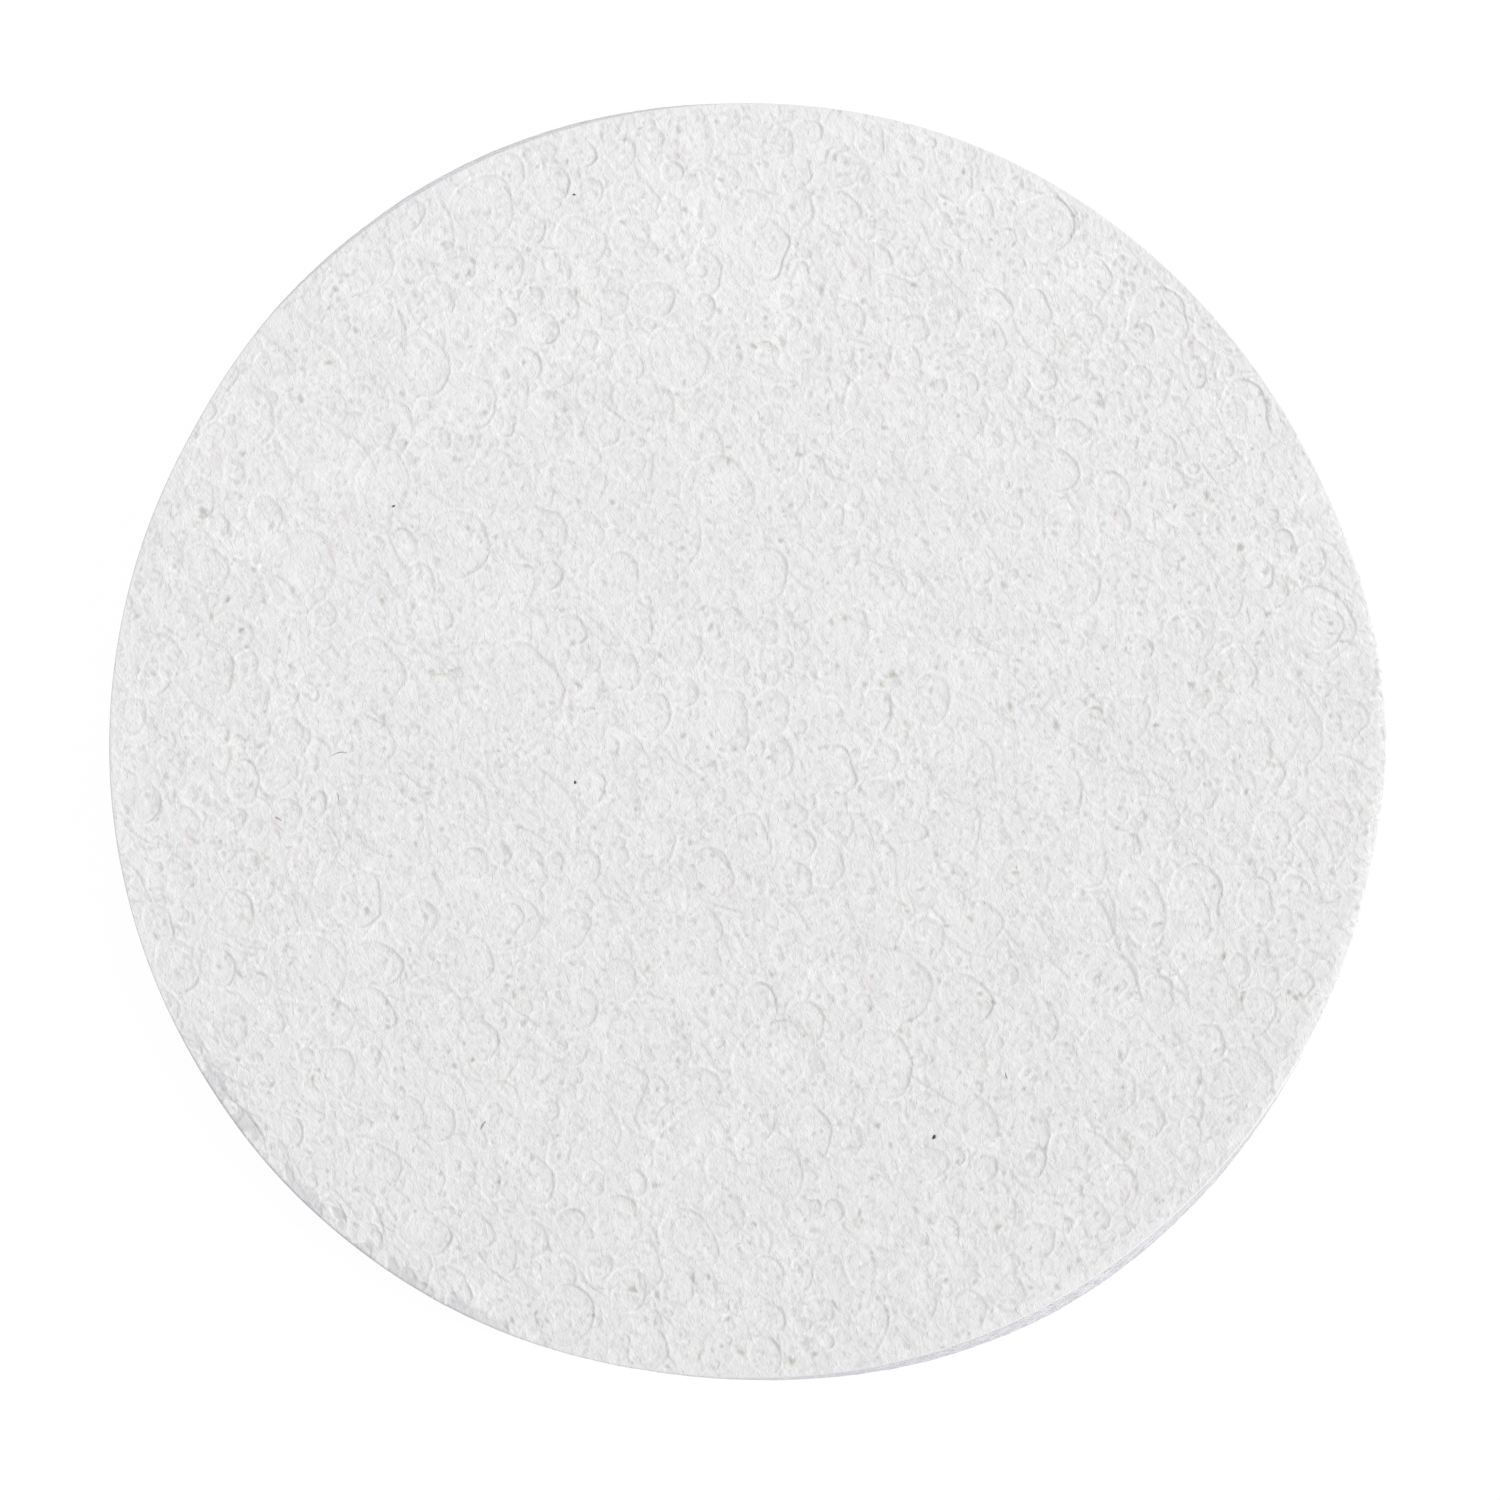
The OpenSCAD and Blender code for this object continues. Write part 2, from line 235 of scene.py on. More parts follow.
    (272, 1020, 32, 26, 90, 0.3), (332, 1022, 48, 44, 90, 0.3), (370, 1010, 60, 42, 130, 0.8),
    (412, 920, 50, 44, 90, 0.3), (470, 865, 40, 34, 0, 0.6), (530, 870, 44, 38, 110, 0.5),
    (555, 865, 22, 20, 90, 0.6), (583, 868, 40, 36, 90, 0.4), (510, 925, 62, 56, 60, 0.5),
    (506, 921, 38, 32, 60, 0.5), (470, 965, 56, 44, 90, 0.4), (568, 930, 44, 40, 60, 0.5),
    (570, 1010, 56, 44, 0, 0.3), (622, 1085, 52, 46, 110, 0.4),
    # Bottom of the middle
    (773, 1062, 100, 84, 90, 0.2), (779, 1056, 68, 58, 90, 0.4), (764, 1004, 44, 30, 100, 1.0),
    (805, 1023, 50, 38, 100, 0.7), (880, 1062, 74, 62, 110, 0.7), (897, 985, 72, 64, 110, 0.4),
    (965, 1000, 58, 54, 90, 0.6), (976, 925, 56, 54, 90, 0.3), (862, 1003, 24, 22, 90, 0.5),
    (778, 956, 24, 12, 110, 0.9), (853, 1135, 30, 20, 110, 0.5), (705, 925, 50, 30, 110, 0.5),
    (620, 980, 50, 36, 100, 0.3), (927, 700, 52, 46, 90, 0.3),
    # Right
    (1112, 522, 42, 32, 100, 0.6), (1065, 530, 44, 36, 90, 0.4), (1232, 566, 34, 30, 90, 0.5),
    (1230, 597, 44, 26, 90, 0.4), (1260, 570, 40, 24, 110, 0.8), (1283, 546, 34, 26, 110, 0.8),
    (1312, 560, 38, 28, 100, 0.5), (1315, 627, 86, 76, 90, 0.5), (1320, 628, 52, 46, 90, 0.7),
    (1190, 637, 58, 52, 90, 0.3), (1190, 634, 30, 26, 90, 0.6), (1090, 726, 34, 30, 100, 0.6),
    (1060, 790, 52, 42, 100, 0.6), (1125, 722, 52, 46, 90, 0.2), (1215, 735, 44, 34, 100, 0.4),
    (1250, 740, 70, 40, 110, 0.5), (1292, 720, 88, 52, 110, 0.5), (1180, 765, 32, 24, 100, 0.7),
    (1270, 777, 34, 30, 90, 0.6), (1205, 795, 28, 20, 90, 0.5), (1290, 815, 28, 24, 90, 0.5),
    (1338, 812, 34, 20, 150, 0.6), (1160, 815, 46, 38, 90, 0.2), (1345, 720, 50, 40, 90, 0.3),
]

# Deeper pits: x, y and width in pixels, and how much of the corm's tan dirt lies in them, from 0 to 1
MARKED_PITS = [
    (716, 120, 9, 0.6), (600, 132, 11, 0.5), (716, 155, 12, 0.1), (466, 268, 9, 0.9), (596, 154, 8, 0.5),
    (622, 220, 8, 0.9), (443, 243, 9, 0.1), (665, 255, 14, 0.4), (602, 307, 5, 0), (603, 290, 10, 0.1),
    (534, 223, 5, 0.1), (642, 346, 5, 0), (787, 175, 7, 0.6), (834, 158, 5, 0.2), (847, 162, 9, 0.2),
    (871, 214, 8, 0.6), (945, 196, 12, 0.4), (963, 168, 10, 0.8), (823, 290, 12, 0.7), (853, 266, 12, 0.1),
    (823, 319, 5, 0), (839, 316, 9, 0), (836, 243, 6, 0), (765, 318, 9, 0.5), (766, 328, 9, 0.5),
    (981, 334, 8, 0.1), (994, 179, 9, 0.1), (910, 201, 9, 0.1), (1074, 215, 9, 0.6), (1250, 451, 7, 0.9),
    (1093, 378, 8, 0.3), (1098, 402, 14, 0.4), (1198, 374, 11, 0.1), (1097, 281, 12, 0.1),
    (1188, 343, 9, 0.2), (1268, 400, 9, 0.5), (1143, 484, 9, 0.5), (1215, 530, 8, 0.6), (202, 515, 8, 0.6),
    (212, 613, 8, 0.6), (152, 674, 9, 0.6), (157, 817, 8, 0.6), (1222, 959, 10, 0.9), (1180, 955, 10, 0.5),
    (1255, 952, 10, 0.7), (1241, 1000, 10, 1.0), (1241, 993, 8, 0.8), (1048, 1003, 10, 0.5),
    (1297, 1000, 10, 0.9), (1303, 998, 8, 0.9), (1222, 1062, 9, 0.5), (1278, 837, 7, 0.6),
    (1332, 869, 8, 0.2), (1226, 1118, 8, 0.7), (1158, 922, 7, 0.7), (1212, 930, 8, 0.4),
    (1220, 915, 8, 0.2), (1096, 978, 9, 0.4), (1000, 1228, 8, 0.6), (1026, 1158, 20, 0.1),
    (654, 1187, 12, 0.1), (815, 468, 12, 0.1), (990, 240, 8, 0.4), (647, 432, 8, 0.5), (680, 619, 7, 0.6),
    (660, 657, 7, 0.6), (755, 675, 6, 0.8), (882, 685, 8, 0.5), (637, 810, 8, 0.5), (721, 749, 8, 0.4),
    (701, 780, 8, 0.4), (883, 840, 8, 0.5), (794, 827, 8, 0.4), (696, 757, 8, 0.3), (868, 890, 12, 0.1),
    (329, 646, 6, 0.1), (387, 642, 5, 0.3), (277, 500, 6, 0.1), (244, 647, 8, 0.7), (174, 674, 7, 0.5),
    (424, 666, 7, 0.1), (244, 747, 6, 0.5), (230, 563, 5, 0.5), (416, 843, 9, 0.8), (388, 855, 8, 0.6),
    (291, 963, 10, 0.2), (310, 957, 6, 0.1), (302, 980, 7, 0.1), (238, 1060, 9, 0.5), (167, 837, 9, 0.1),
    (454, 1066, 11, 0.7), (547, 1077, 9, 0.1), (364, 1047, 6, 0.1), (370, 1152, 7, 0.2),
    (325, 1143, 6, 0.4), (328, 1172, 8, 0.6), (535, 1312, 9, 0.9), (535, 1320, 9, 0.8), (397, 1115, 9, 0.9),
    (560, 1155, 9, 0.6), (557, 1137, 7, 0.9), (652, 1187, 10, 0.9), (632, 1288, 13, 0.9),
    (592, 1317, 8, 0.9), (858, 1215, 11, 0.6), (860, 1222, 8, 0.6), (700, 1353, 9, 0.8),
    (692, 1277, 11, 0.9), (707, 1276, 9, 0.8), (800, 1270, 11, 0.7), (812, 1355, 10, 0.9),
    (743, 1105, 9, 0.6), (878, 1124, 11, 0.9), (727, 1318, 9, 0.6), (723, 1345, 7, 0.6),
    (654, 1323, 8, 0.6), (875, 1297, 7, 0.6), (885, 1310, 7, 0.5), (930, 1222, 16, 0.3),
    (997, 1227, 8, 1.0), (986, 1228, 6, 0.3), (978, 1232, 7, 0.2), (947, 1282, 8, 0.9),
    (1030, 1287, 8, 0.9), (957, 1161, 10, 0.6), (1026, 1088, 9, 0.7), (1005, 1076, 7, 0.4),
    (997, 1135, 11, 0.3), (1062, 1125, 8, 0.5), (1095, 1213, 9, 0.5), (1153, 1198, 8, 0.3),
    (1207, 1137, 6, 0.5), (594, 828, 8, 0.6), (652, 857, 6, 0.2), (692, 866, 8, 0.1), (695, 889, 7, 0.1),
    (594, 903, 5, 0), (508, 943, 10, 0.5), (509, 976, 12, 0.5), (508, 985, 9, 0.5), (572, 963, 8, 0.5),
    (677, 1060, 13, 0.6), (722, 987, 7, 0.6), (633, 931, 6, 0.1), (748, 936, 8, 0.7), (610, 1004, 6, 0.5),
    (609, 1108, 5, 0), (643, 890, 6, 0.1), (771, 973, 8, 1.0), (804, 1034, 9, 0.8), (899, 1028, 11, 0.8),
    (912, 1020, 10, 0.6), (935, 1022, 12, 0.5), (947, 925, 10, 0.6), (992, 1000, 9, 0.9),
    (977, 1003, 7, 0.3), (888, 995, 10, 0.1), (850, 1083, 6, 0.5), (951, 873, 8, 0.7), (1015, 875, 11, 0.4),
    (948, 1050, 6, 0.1), (1115, 515, 8, 0.5), (1181, 562, 8, 0.7), (1240, 548, 14, 0.8),
    (1290, 548, 9, 0.5), (1265, 573, 10, 0.6), (1301, 577, 8, 0.6), (1270, 615, 7, 0.7),
    (1140, 615, 9, 0.5), (1255, 643, 9, 0.7), (1333, 625, 9, 0.9), (1333, 636, 7, 0.7), (1195, 626, 7, 0.6),
    (1190, 684, 9, 0.8), (1205, 692, 10, 0.6), (1230, 690, 6, 0.5), (1056, 724, 12, 0.7),
    (1371, 690, 9, 0.4), (1062, 808, 11, 0.3), (1203, 785, 7, 0.6), (1170, 790, 6, 0.3),
    (1322, 622, 7, 0.1),
]

# Faint mauve blushes: x, y and width in pixels
BLUSHES = [
    (215, 458, 14), (345, 517, 12), (333, 550, 12), (275, 825, 14), (190, 835, 16), (290, 857, 12),
    (812, 250, 10), (854, 266, 12), (888, 375, 12), (677, 152, 12), (607, 290, 12), (1190, 343, 12),
    (867, 985, 14), (1043, 1122, 14), (1125, 1195, 12), (1117, 515, 12), (1335, 808, 10), (566, 697, 16),
    (728, 888, 10), (1152, 1200, 10), (270, 580, 10),
]

# Long creases between cells: x and y of both ends in pixels
MARKED_CREASES = [
    (1030, 917, 1057, 952), (1090, 895, 1112, 940), (1110, 942, 1140, 1010), (1150, 975, 1190, 1010),
    (1295, 842, 1317, 887), (1194, 425, 1203, 438), (1022, 395, 1040, 412), (1122, 340, 1135, 360),
    (1095, 900, 1112, 935), (440, 200, 452, 236), (1303, 815, 1335, 868), (500, 185, 515, 206),
    (1162, 960, 1187, 1008), (657, 1115, 678, 1100), (650, 1075, 668, 1092), (705, 850, 728, 870),
    (500, 1000, 535, 1030), (515, 830, 550, 845), (785, 900, 805, 925), (1000, 930, 1025, 960),
    (930, 905, 945, 925), (870, 1165, 890, 1185), (1045, 960, 1070, 980), (905, 895, 915, 912),
    (815, 1150, 830, 1163), (1083, 1130, 1120, 1160), (1000, 1180, 1015, 1220), (1150, 770, 1172, 795),
    (1335, 755, 1370, 775), (395, 775, 425, 790), (600, 1090, 610, 1110), (270, 575, 300, 600),
]

# Where the die left the upper rim wide or narrow, and where the wall leans out: the direction in degrees,
# how far in pixels and half of the width in degrees
RIM_SWELLS = [
    (357, 3.0, 10), (21, -1.5, 9), (31, -6.2, 17), (50, -4.7, 22), (70, 1.8, 14), (120, 2.4, 26),
    (141, 2.9, 9), (147, -2.2, 9), (194, 2.6, 28), (222, 1.2, 9), (240, 3.0, 18), (261, -1.0, 9),
    (270, -0.2, 12), (285, 1.1, 8), (297, 1.0, 7), (312, -0.4, 6), (328, -1.6, 10), (350, -2.4, 7),
    (8, 0.8, 10),
]
WALL_LEANS = [(116, 7.8, 29), (299, 8.6, 22), (350, -3.0, 20)]
# Where the upper rim's edge is softer, in millimetres, where a pale painted highlight runs inside it, and
# where the skin beside it is smoothest
RIM_SOFT = [(0, 0.2, 28), (280, 0.04, 18)]
RIM_HIGHLIGHTS = [(190, 0.2, 14), (306, 0.4, 18), (350, 0.8, 26)]
RIM_SMOOTH = [(345, 0.4, 50)]
# Painted light and shade round the cut wall: paler, or darker where the value is negative: the direction,
# how much and half of the width
WALL_PAINTED_LIGHT = [(125, 1.8, 30), (228, -0.8, 10), (264, 1.0, 14), (312, -0.8, 22), (326, -0.6, 10)]

# Flecks of plant skin: x and y in pixels, the length in pixels and the turn in degrees
FLECKS = [(934, 1137, 4.8, 60), (575, 782, 3.6, 100), (574, 193, 2.8, 0), (393, 505, 2.8, 20)]
# Plant hairs: x and y in pixels, the angle that the bend spans and the turn in degrees
HAIRS = [
    (339, 752, 62, 100), (338, 796, 34, 10), (278, 818, 30, 60), (483, 1125, 40, 150), (1006, 1076, 26, 200),
]
HAIR_BEND_R = 0.9 * MM
HAIR_THICK = 0.06 * MM
HAIR_STEPS = 14
# How high above the face's own height a fleck's and a hair's middle lie
FLECK_RISE = 0.02 * MM
HAIR_RISE = 0.015 * MM

# The direction that the tangle of fibres, and the finest ones in the finish, are drawn out in, in degrees
STRANDS_TURN = -50
FINE_TURN = -55
# Fibres and wrinkles over the faces: the size of the lumps that they wind between, their width and their
# height, all in millimetres, and how far they are drawn out
THREADS = [
    (2.4, 0.11, 0.012, 1.6), (1.6, 0.10, 0.012, 1.0), (1.1, 0.09, 0.010, 1.4), (0.8, 0.08, 0.008, 1.0),
    (0.6, 0.08, -0.007, 1.0), (0.45, 0.07, 0.006, 1.3),
]

# Broader unevenness of the faces: the size of the lumps and their height, in millimetres
SWAYS = [(4, 0.03), (0.8, 0.004), (0.35, 0.002), (0.2, 0.0015)]

# Finer fibres, in the finish: the size of the lumps that they wind between, their width and their height,
# all in millimetres
FINE_LINES = [(0.9, 0.055, 0.0095), (0.6, 0.05, 0.0085), (0.5, 0.045, -0.0095), (0.35, 0.04, -0.0055)]

# The cut wall's roughness: the size of the lumps round it and down it, and how far they stand out, all in
# millimetres. The last ones are upright scratches from the die
WALL_LUMPS = [(0.9, 0.35, 0.014), (0.4, 0.2, 0.012), (0.25, 3, 0.008)]

# Single fibres, and creases where the height is negative: how many are tried, the longest, the direction that
# most run in and the spread of it in degrees, the width and the height, in millimetres
FIBRES = [
    (900, 5.0, -52, 15, 0.07, -0.024), (900, 4.0, -58, 35, 0.08, 0.016), (4500, 1.5, -55, 35, 0.07, 0.013),
    (5000, 1.6, -62, 28, 0.08, -0.020), (1500, 0.9, 40, 40, 0.07, 0.010),
]

# The foam's colours: two that drift into each other, the cut wall's paler bluish one, which is painted fill
# light, the painted shade in a crevice and in a pinhole, the corm's dirt, the tint of a blush and the painted
# shade in the wall's sliced cells
FOAM_COOL = (0.8, 0.798, 0.8045, 1)
FOAM_WARM = (0.804, 0.802, 0.8015, 1)
CUT_WALL_FILL_TINT = (0.83, 0.83, 0.87, 1)
CREVICE_SHADE_GREY = (0.5, 0.5, 0.49, 1)
PINHOLE_SHADE_GREY = (0.56, 0.56, 0.56, 1)
DIRT_TAN = (0.50, 0.49, 0.425, 1)
BLUSH_TINT = (0.97, 0.915, 0.95, 1)
SLICED_CELL_SHADE = (0.92, 0.92, 0.925, 1)
# The plant matter's colours, each with its paler streaks
SKIN_DARK, SKIN_PALE = (0.03, 0.03, 0.03, 1), (0.1, 0.1, 0.1, 1)
HAIR_DARK, HAIR_PALE = (0.3, 0.29, 0.27, 1), (0.42, 0.4, 0.37, 1)

# The camera: its distance from the face, its lean and the direction that it leans in, in degrees
CAMERA_FAR = 0.9
CAMERA_LEAN = 2.9
CAMERA_TURN = 300


class Relief:
    """One pressed face in fine steps over a square: its height and the marks that its finish reads."""

    def __init__(self, seed):
        self.low = -BASE_R - RELIEF_MARGIN
        self.count = int(round(-2 * self.low / RELIEF_STEP)) + 1
        axis = np.linspace(self.low, -self.low, self.count)
        self.x, self.y = np.meshgrid(axis, axis)
        random = np.random.default_rng(seed + 1)
        bends = []
        for _ in range(2):
            bends.append(sum(far * MM * lumps(random, size * MM)(self.x, self.y) for size, far in BENDS))
        self.x, self.y = self.x + bends[0], self.y + bends[1]
        self.height = np.zeros((self.count, self.count))
        self.crevice_shade = np.zeros((self.count, self.count))
        self.stain = np.zeros((self.count, self.count))
        self.blush = np.zeros((self.count, self.count))
        self.random = np.random.default_rng(seed)

    def window(self, x, y, reach):
        """The part of the square within reach of a place, and that part's coordinates from the place."""
        reach += BEND_REACH
        low = [min(self.count - 2, max(0, int((c - reach - self.low) / RELIEF_STEP))) for c in (y, x)]
        high = [max(2, min(self.count, int((c + reach - self.low) / RELIEF_STEP) + 2)) for c in (y, x)]
        part = np.s_[low[0] : high[0], low[1] : high[1]]
        return part, self.x[part] - x, self.y[part] - y

    def sample(self, layer, x, y):
        """A layer's values at places between its steps."""
        u = np.clip((x - self.low) / RELIEF_STEP, 0, self.count - 1.001)
        v = np.clip((y - self.low) / RELIEF_STEP, 0, self.count - 1.001)
        i, j = v.astype(int), u.astype(int)
        return between(layer, i, j, j + 1, v - i, u - j)

    def cavity(self):
        """How far each place stands above its surroundings."""
        level = self.height
        for _ in range(2):
            for axis in (0, 1):
                total = np.cumsum(level, axis=axis)
                near, far = np.roll(total, CAVITY_STEPS, axis=axis), np.roll(total, -CAVITY_STEPS, axis=axis)
                level = (far - near) / (2 * CAVITY_STEPS)
        return self.height - level


def lumps(random, size, stretch=1.0, turn=0.0):
    """Smooth noise from -1 to 1, as a function of place: lumps of a given size, drawn out along a turn."""
    if stretch == 1:
        turn = random.uniform(0, 90)
    half = 1.5 * BASE_R
    knots = int(2 * half / size) + 3
    values = random.uniform(-1, 1, (knots, knots)).astype(np.float32)

    def at(x, y):
        along, across = along_across(x, y, turn)
        u, v = (along / stretch + half) / size, (across + half) / size
        i, j = v.astype(np.int32), u.astype(np.int32)
        return between(values, i, j, j + 1, smooth_step(0, 1, v - i), smooth_step(0, 1, u - j))

    return at


def threads(random, size, width, x, y, stretch=1.0, turn=0.0):
    """Thin curved ridges, from 0 to 1, that wind between lumps of the given size and come and go."""
    bend = 0.25 * size
    warped_x = x + bend * lumps(random, 0.7 * size)(x, y)
    warped_y = y + bend * lumps(random, 0.7 * size)(x, y)
    line = lumps(random, size, stretch, turn)(warped_x, warped_y)
    strength = np.clip(0.5 + lumps(random, 1.7 * size)(x, y), 0, 1)
    return strength * hump(line * size / 2.2, width)


def round_turns(dx, dy):
    """The direction at each place as a complex number of length 1, and its first powers."""
    once = (dx + 1j * dy) / np.maximum(np.hypot(dx, dy), 1e-7)
    turns = [once]
    for _ in range(4):
        turns.append(turns[-1] * once)
    return turns


def swing(random, turns, amount):
    """How an uneven ring swings with the direction."""
    phases = np.exp(1j * random.uniform(0, 2 * math.pi, len(turns)))
    return sum(amount / (k + 1) * (t * p).real for k, (t, p) in enumerate(zip(turns, phases)))


def press_cell(relief, x, y, long, short, turn, gape, depth, clear):
    """A collapsed bubble: a sunk floor, thin wrinkles round it and a crevice on its shut side.

    Most wrinkles are on its slack side. It clears away the given share of the relief that it covers.
    """
    random = relief.random
    mean_r = math.sqrt(long * short) / 2
    part, dx, dy = relief.window(x, y, long * 0.6 + 0.5 * MM)
    turns = round_turns(dx, dy)
    along, across = along_across(dx, dy, turn)
    out = np.hypot(along / (long / 2), across / (short / 2)) / (1 + swing(random, turns[1:], 0.07))
    out = (out - 1) * mean_r
    shut_at = math.radians(SHUT_SIDE + random.normal(0, 20))
    shut = 0.5 + 0.5 * (turns[0] * np.exp(-1j * shut_at)).real
    inside = smooth_step(0, -random.uniform(0.1, 0.24) * MM, out)
    height = -depth * inside * (0.4 + 0.6 * shut + 0.35 * np.clip(out / mean_r, -1, 0))
    rim = hump(out - 0.04 * MM, 0.085 * MM) * np.clip(0.7 + swing(random, turns, 0.6), 0.1, 1.3)
    height += RIM_RISE * (0.4 + 0.6 * min(1, gape + depth / (0.03 * MM))) * rim
    at = -random.uniform(0.14, 0.26) * MM
    while at > -0.8 * mean_r:
        cover = np.clip(0.35 + swing(random, turns, 0.8) + 0.7 * (0.5 - shut), 0, 1)
        ridge = hump(out - at + 0.05 * MM * swing(random, turns, 1.0), random.uniform(0.075, 0.1) * MM)
        height += random.uniform(0.5, 1.4) * (0.6 + 1.1 * gape) * WRINKLE_RISE * cover * ridge
        at -= random.uniform(0.17, 0.36) * MM
    crack = hump(out + 0.06 * MM, 0.07 * MM) * smooth_step(0.6, 0.95, shut + swing(random, turns, 0.15))
    soiled_at = shut_at + random.normal(0, 0.7)
    soiled = crack * smooth_step(0.8, 1, (turns[0] * np.exp(-1j * soiled_at)).real)
    soiled = soiled * 0.6 * random.uniform() ** 3
    cleared = 1 - clear * smooth_step(0.1 * MM, -0.05 * MM, out)
    relief.height[part] = relief.height[part] * cleared + height - CREVICE_DEPTH * gape * crack
    # Painted shade along the open crevice
    relief.crevice_shade[part] = np.maximum(relief.crevice_shade[part] * cleared, 0.7 * gape * crack)
    relief.stain[part] = np.maximum(relief.stain[part], soiled)


def press_bubble(relief, x, y, width, depth, gape):
    """A small bubble: a shallow dent with a thin uneven lip and a fine crevice on its shut side."""
    random = relief.random
    part, dx, dy = relief.window(x, y, width * 0.6 + 0.25 * MM)
    turns = round_turns(dx, dy)
    out = (np.hypot(dx, dy) / (width / 2) / (1 + swing(random, turns[1:], 0.12)) - 1) * width / 2
    dent = smooth_step(0.02 * MM, -0.14 * MM, out)
    lip = hump(out - 0.05 * MM, 0.08 * MM) * np.clip(0.6 + swing(random, turns, 0.6), 0, 1)
    crack = gape * hump(out + 0.05 * MM, 0.065 * MM) * np.clip((turns[0] * np.exp(-0.2j)).real, 0, 1)
    relief.height[part] += WRINKLE_RISE * lip - depth * dent - 0.02 * MM * crack
    # Painted shade along the fine crevice
    relief.crevice_shade[part] = np.maximum(relief.crevice_shade[part], crack)


def press_pore(relief, x, y, width, depth, dark, dirt):
    """A pinhole where the skin broke open."""
    part, dx, dy = relief.window(x, y, 1.3 * width)
    stretch, turn = relief.random.uniform(1, 1.6), relief.random.normal(-60, 35)
    along, across = along_across(dx, dy, turn)
    uneven = 1 + swing(relief.random, round_turns(dx, dy), 0.3)
    out = np.hypot(along / stretch, across * stretch) / (width / 2) / uneven
    hole = np.exp(-(out**3))
    relief.height[part] -= depth * hole
    # Painted shade in the pinhole
    relief.crevice_shade[part] = np.maximum(relief.crevice_shade[part], hole * dark)
    relief.stain[part] = np.maximum(relief.stain[part], hole * dirt)


def press_line(relief, x, y, length, turn, bow, width, rise, dark):
    """A fibre that lies over the cells, or a crease where rise is negative: bowed, and faded at both ends."""
    part, dx, dy = relief.window(x, y, length / 2 + 3 * width)
    along, across = along_across(dx, dy, turn)
    along = along / (length / 2)
    off = across - bow * (1 - along**2) - 0.04 * MM * np.sin(3 * along + x / MM)
    line = hump(off, width) * smooth_step(1, 0.6, np.abs(along))
    relief.height[part] += rise * line
    # Painted shade along a crease; fibres get none
    relief.crevice_shade[part] = np.maximum(relief.crevice_shade[part], dark * line)


def strewn(random, kept, widest, narrowest, tries, crowding):
    """Adds round places that keep clear of those already kept, the widest first."""
    places = np.full((len(kept) + tries, 3), 9.0)
    places[: len(kept)] = kept if kept else np.zeros((0, 3))
    count = len(kept)
    found = []
    for i in range(tries):
        r, a = BASE_R * math.sqrt(random.uniform()), random.uniform(0, 2 * math.pi)
        x, y = r * math.cos(a), r * math.sin(a)
        w = widest * (narrowest / widest) ** (i / tries)
        near = places[:count]
        if count == 0 or (np.hypot(near[:, 0] - x, near[:, 1] - y) > crowding * (near[:, 2] + w) / 2).all():
            places[count] = (x, y, w)
            count += 1
            found.append((x, y, w))
    return found


def press_cell_pores(relief, x, y, width):
    """Pinholes in the floor of a cell."""
    random = relief.random
    for _ in range(int(random.uniform(0.6, 1.4) * 7 * (width / MM) / 2)):
        out, a = 0.4 * width * math.sqrt(random.uniform()), random.uniform(0, 2 * math.pi)
        w = random.uniform(0.16, 0.4) * MM
        # Each pinhole's depth and its painted shade
        depth, dark = random.uniform(0.004, 0.014) * MM, random.uniform(0.1, 0.35)
        press_pore(relief, x + out * math.cos(a), y + out * math.sin(a), w, depth, dark, dirt=0)


def press_marked(relief):
    """The cells, pits and creases that stand out in the photograph."""
    for x, y, long, short, turn, gape in MARKED_CELLS:
        place, clear = from_photo(x, y), 0.3 + 0.4 * gape
        press_cell(relief, *place, long * PX, short * PX, turn, gape, CELL_DEPTH, clear)
        press_cell_pores(relief, *place, math.sqrt(long * short) * PX)
    for x, y, width, dirt in MARKED_PITS:
        # Pits get painted shade as well as their dirt
        press_pore(relief, *from_photo(x, y), 0.5 * width * PX, PIT_DEPTH, dark=0.4, dirt=0.8 * dirt)
    for x, y, width in BLUSHES:
        part, dx, dy = relief.window(*from_photo(x, y), 1.3 * width * PX)
        flushed = hump(np.hypot(1.4 * dx, 0.8 * dy), 0.5 * width * PX)
        relief.blush[part] = np.maximum(relief.blush[part], flushed)
    for x0, y0, x1, y1 in MARKED_CREASES:
        length, turn = math.hypot(x1 - x0, y1 - y0) * PX, math.degrees(math.atan2(y0 - y1, x1 - x0))
        middle, bow = from_photo((x0 + x1) / 2, (y0 + y1) / 2), 0.1 * length
        # Creases get painted shade
        press_line(relief, *middle, 1.2 * length, turn, bow, width=0.06 * MM, rise=-CREASE_DEPTH, dark=0.5)


